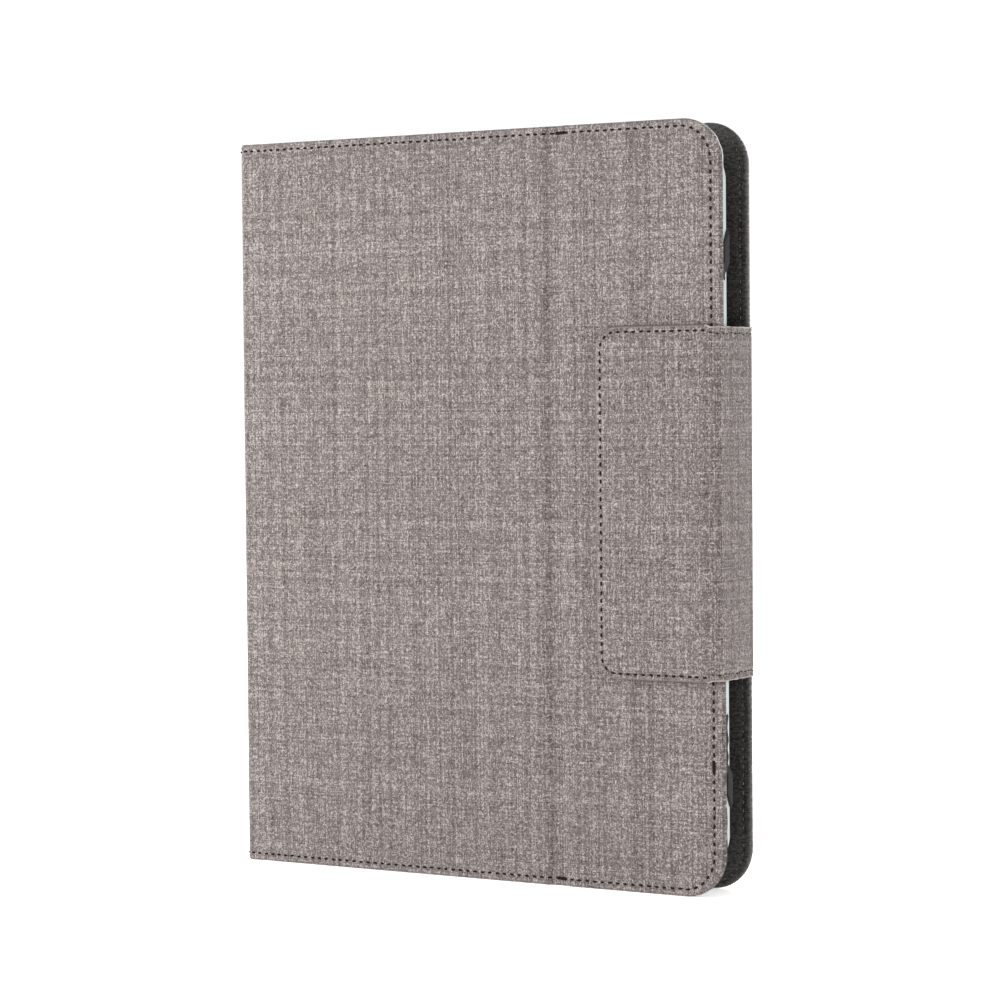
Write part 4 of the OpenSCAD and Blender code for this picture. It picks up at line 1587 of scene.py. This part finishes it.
@dataclass
class Studio:
    """A pale floor, soft light all round and a camera a little above the middle of the case."""

    layout: Layout
    azimuth_deg: float = 30.72
    elevation_deg: float = 1.94
    roll_deg: float = -0.5
    distance_mm: float = 1063.3
    target_offset: tuple[float, float] = (4.92, 132.92)
    lens_mm: float = 108.6
    sensor_mm: float = 36.0
    floor_half_mm: float = 12000.0
    floor_drop_mm: float = 0.05    # how far the floor lies below the case's lower edge
    floor_glow: float = 0.42
    air_strength: float = 1.08
    far_m: float = 60.0            # nothing past this distance is seen

    def build(self) -> None:
        """Sets the floor, the lights and the camera."""
        self._floor()
        self._lights()
        self._camera()

    def _floor(self) -> None:
        """Lays a wide pale floor."""
        shader = Shader("matt_white_paper", "#fbfbfa", 0.95, Specular_IOR_Level=0.1)
        where = shader.node("TexCoord")
        close = shader.node("VectorMath", {"operation": "MULTIPLY", 1: per_mm(2.0)},
                            {0: where.outputs["Object"]})
        tooth = shader.node("TexNoise", {"Scale": 1.0, "Detail": 2.0}, {"Vector": close})
        bump = shader.node("Bump", {"Strength": 0.2, "Distance": 0.02 * MM}, {"Height": tooth})
        shader.link(shader.surface, {"Normal": bump})
        # a light table: the paper glows a little, so that nothing leaves a hard shadow on it
        shader.surface.inputs["Emission Color"].default_value = srgb("#ffffff")
        shader.surface.inputs["Emission Strength"].default_value = self.floor_glow
        half, drop = self.floor_half_mm, self.floor_drop_mm
        draft = MeshDraft()
        ring = [draft.add((sx * half, sy * half, -drop)) for sx, sy in ((-1, -1), (1, -1), (1, 1), (-1, 1))]
        draft.faces.append(tuple(ring))
        floor = draft.build("studio_floor", shader.material)

    def _lights(self) -> None:
        """Lights the case from all round, with a soft key in front."""
        world = bpy.data.worlds.new("studio_air")
        bpy.context.scene.world = world
        world.use_nodes = True
        air = world.node_tree.nodes["Background"]
        air.inputs[0].default_value = (1.0, 1.0, 1.0, 1.0)
        air.inputs[1].default_value = self.air_strength
        lights = (("key_light", (-1000, -800, 330), 600.0, 23.0),
                  ("fill_light", (1700, -450, 350), 900.0, 15.0),
                  ("back_light", (-300, 1400, 1000), 900.0, 18.0))
        for name, place, size, power in lights:
            lamp = bpy.data.lights.new(name, "AREA")
            lamp.size = size * MM
            lamp.energy = power
            holder = bpy.data.objects.new(name, lamp)
            bpy.context.scene.collection.objects.link(holder)
            spot = Vector(place) * MM
            aim = Vector((0, 0, self.layout.height / 2)) * MM
            holder.location = spot
            holder.rotation_euler = (aim - spot).to_track_quat("-Z", "Y").to_euler()

    def _camera(self) -> None:
        """Places the camera."""
        lay = self.layout
        azimuth, elevation = math.radians(self.azimuth_deg), math.radians(self.elevation_deg)
        back = Vector((math.sin(azimuth) * math.cos(elevation), -math.cos(azimuth) * math.cos(elevation),
                       math.sin(elevation)))
        target = Vector(((lay.spine_x + lay.edge_x) / 2 + self.target_offset[0],
                         (lay.front_y + lay.back_y) / 2, self.target_offset[1]))
        side = (-back).cross(Vector((0, 0, 1))).normalized()
        up = side.cross(-back)
        turn = math.radians(self.roll_deg)
        right = side * math.cos(turn) + up * math.sin(turn)
        above = up * math.cos(turn) - side * math.sin(turn)
        data = bpy.data.cameras.new("camera")
        data.lens = self.lens_mm
        data.sensor_width = self.sensor_mm
        data.clip_end = self.far_m
        camera = bpy.data.objects.new("camera", data)
        bpy.context.scene.collection.objects.link(camera)
        axes = Matrix((right, above, back)).transposed().to_4x4()
        camera.matrix_world = Matrix.Translation((target + back * self.distance_mm) * MM) @ axes
        bpy.context.scene.camera = camera
        bpy.context.scene.view_settings.view_transform = "Standard"


def main() -> None:
    """Builds the case's assemblies in order."""
    logging.basicConfig(level=logging.INFO, format="%(name)s: %(message)s")
    layout = Layout.read()
    Studio(layout).build()
    dress_packed_parts()
    Covers(layout).build()
    ClosingFlap(layout).build()
    TabletCarrier().build()
    Keyboard().build()


if __name__ == "__main__":
    main()
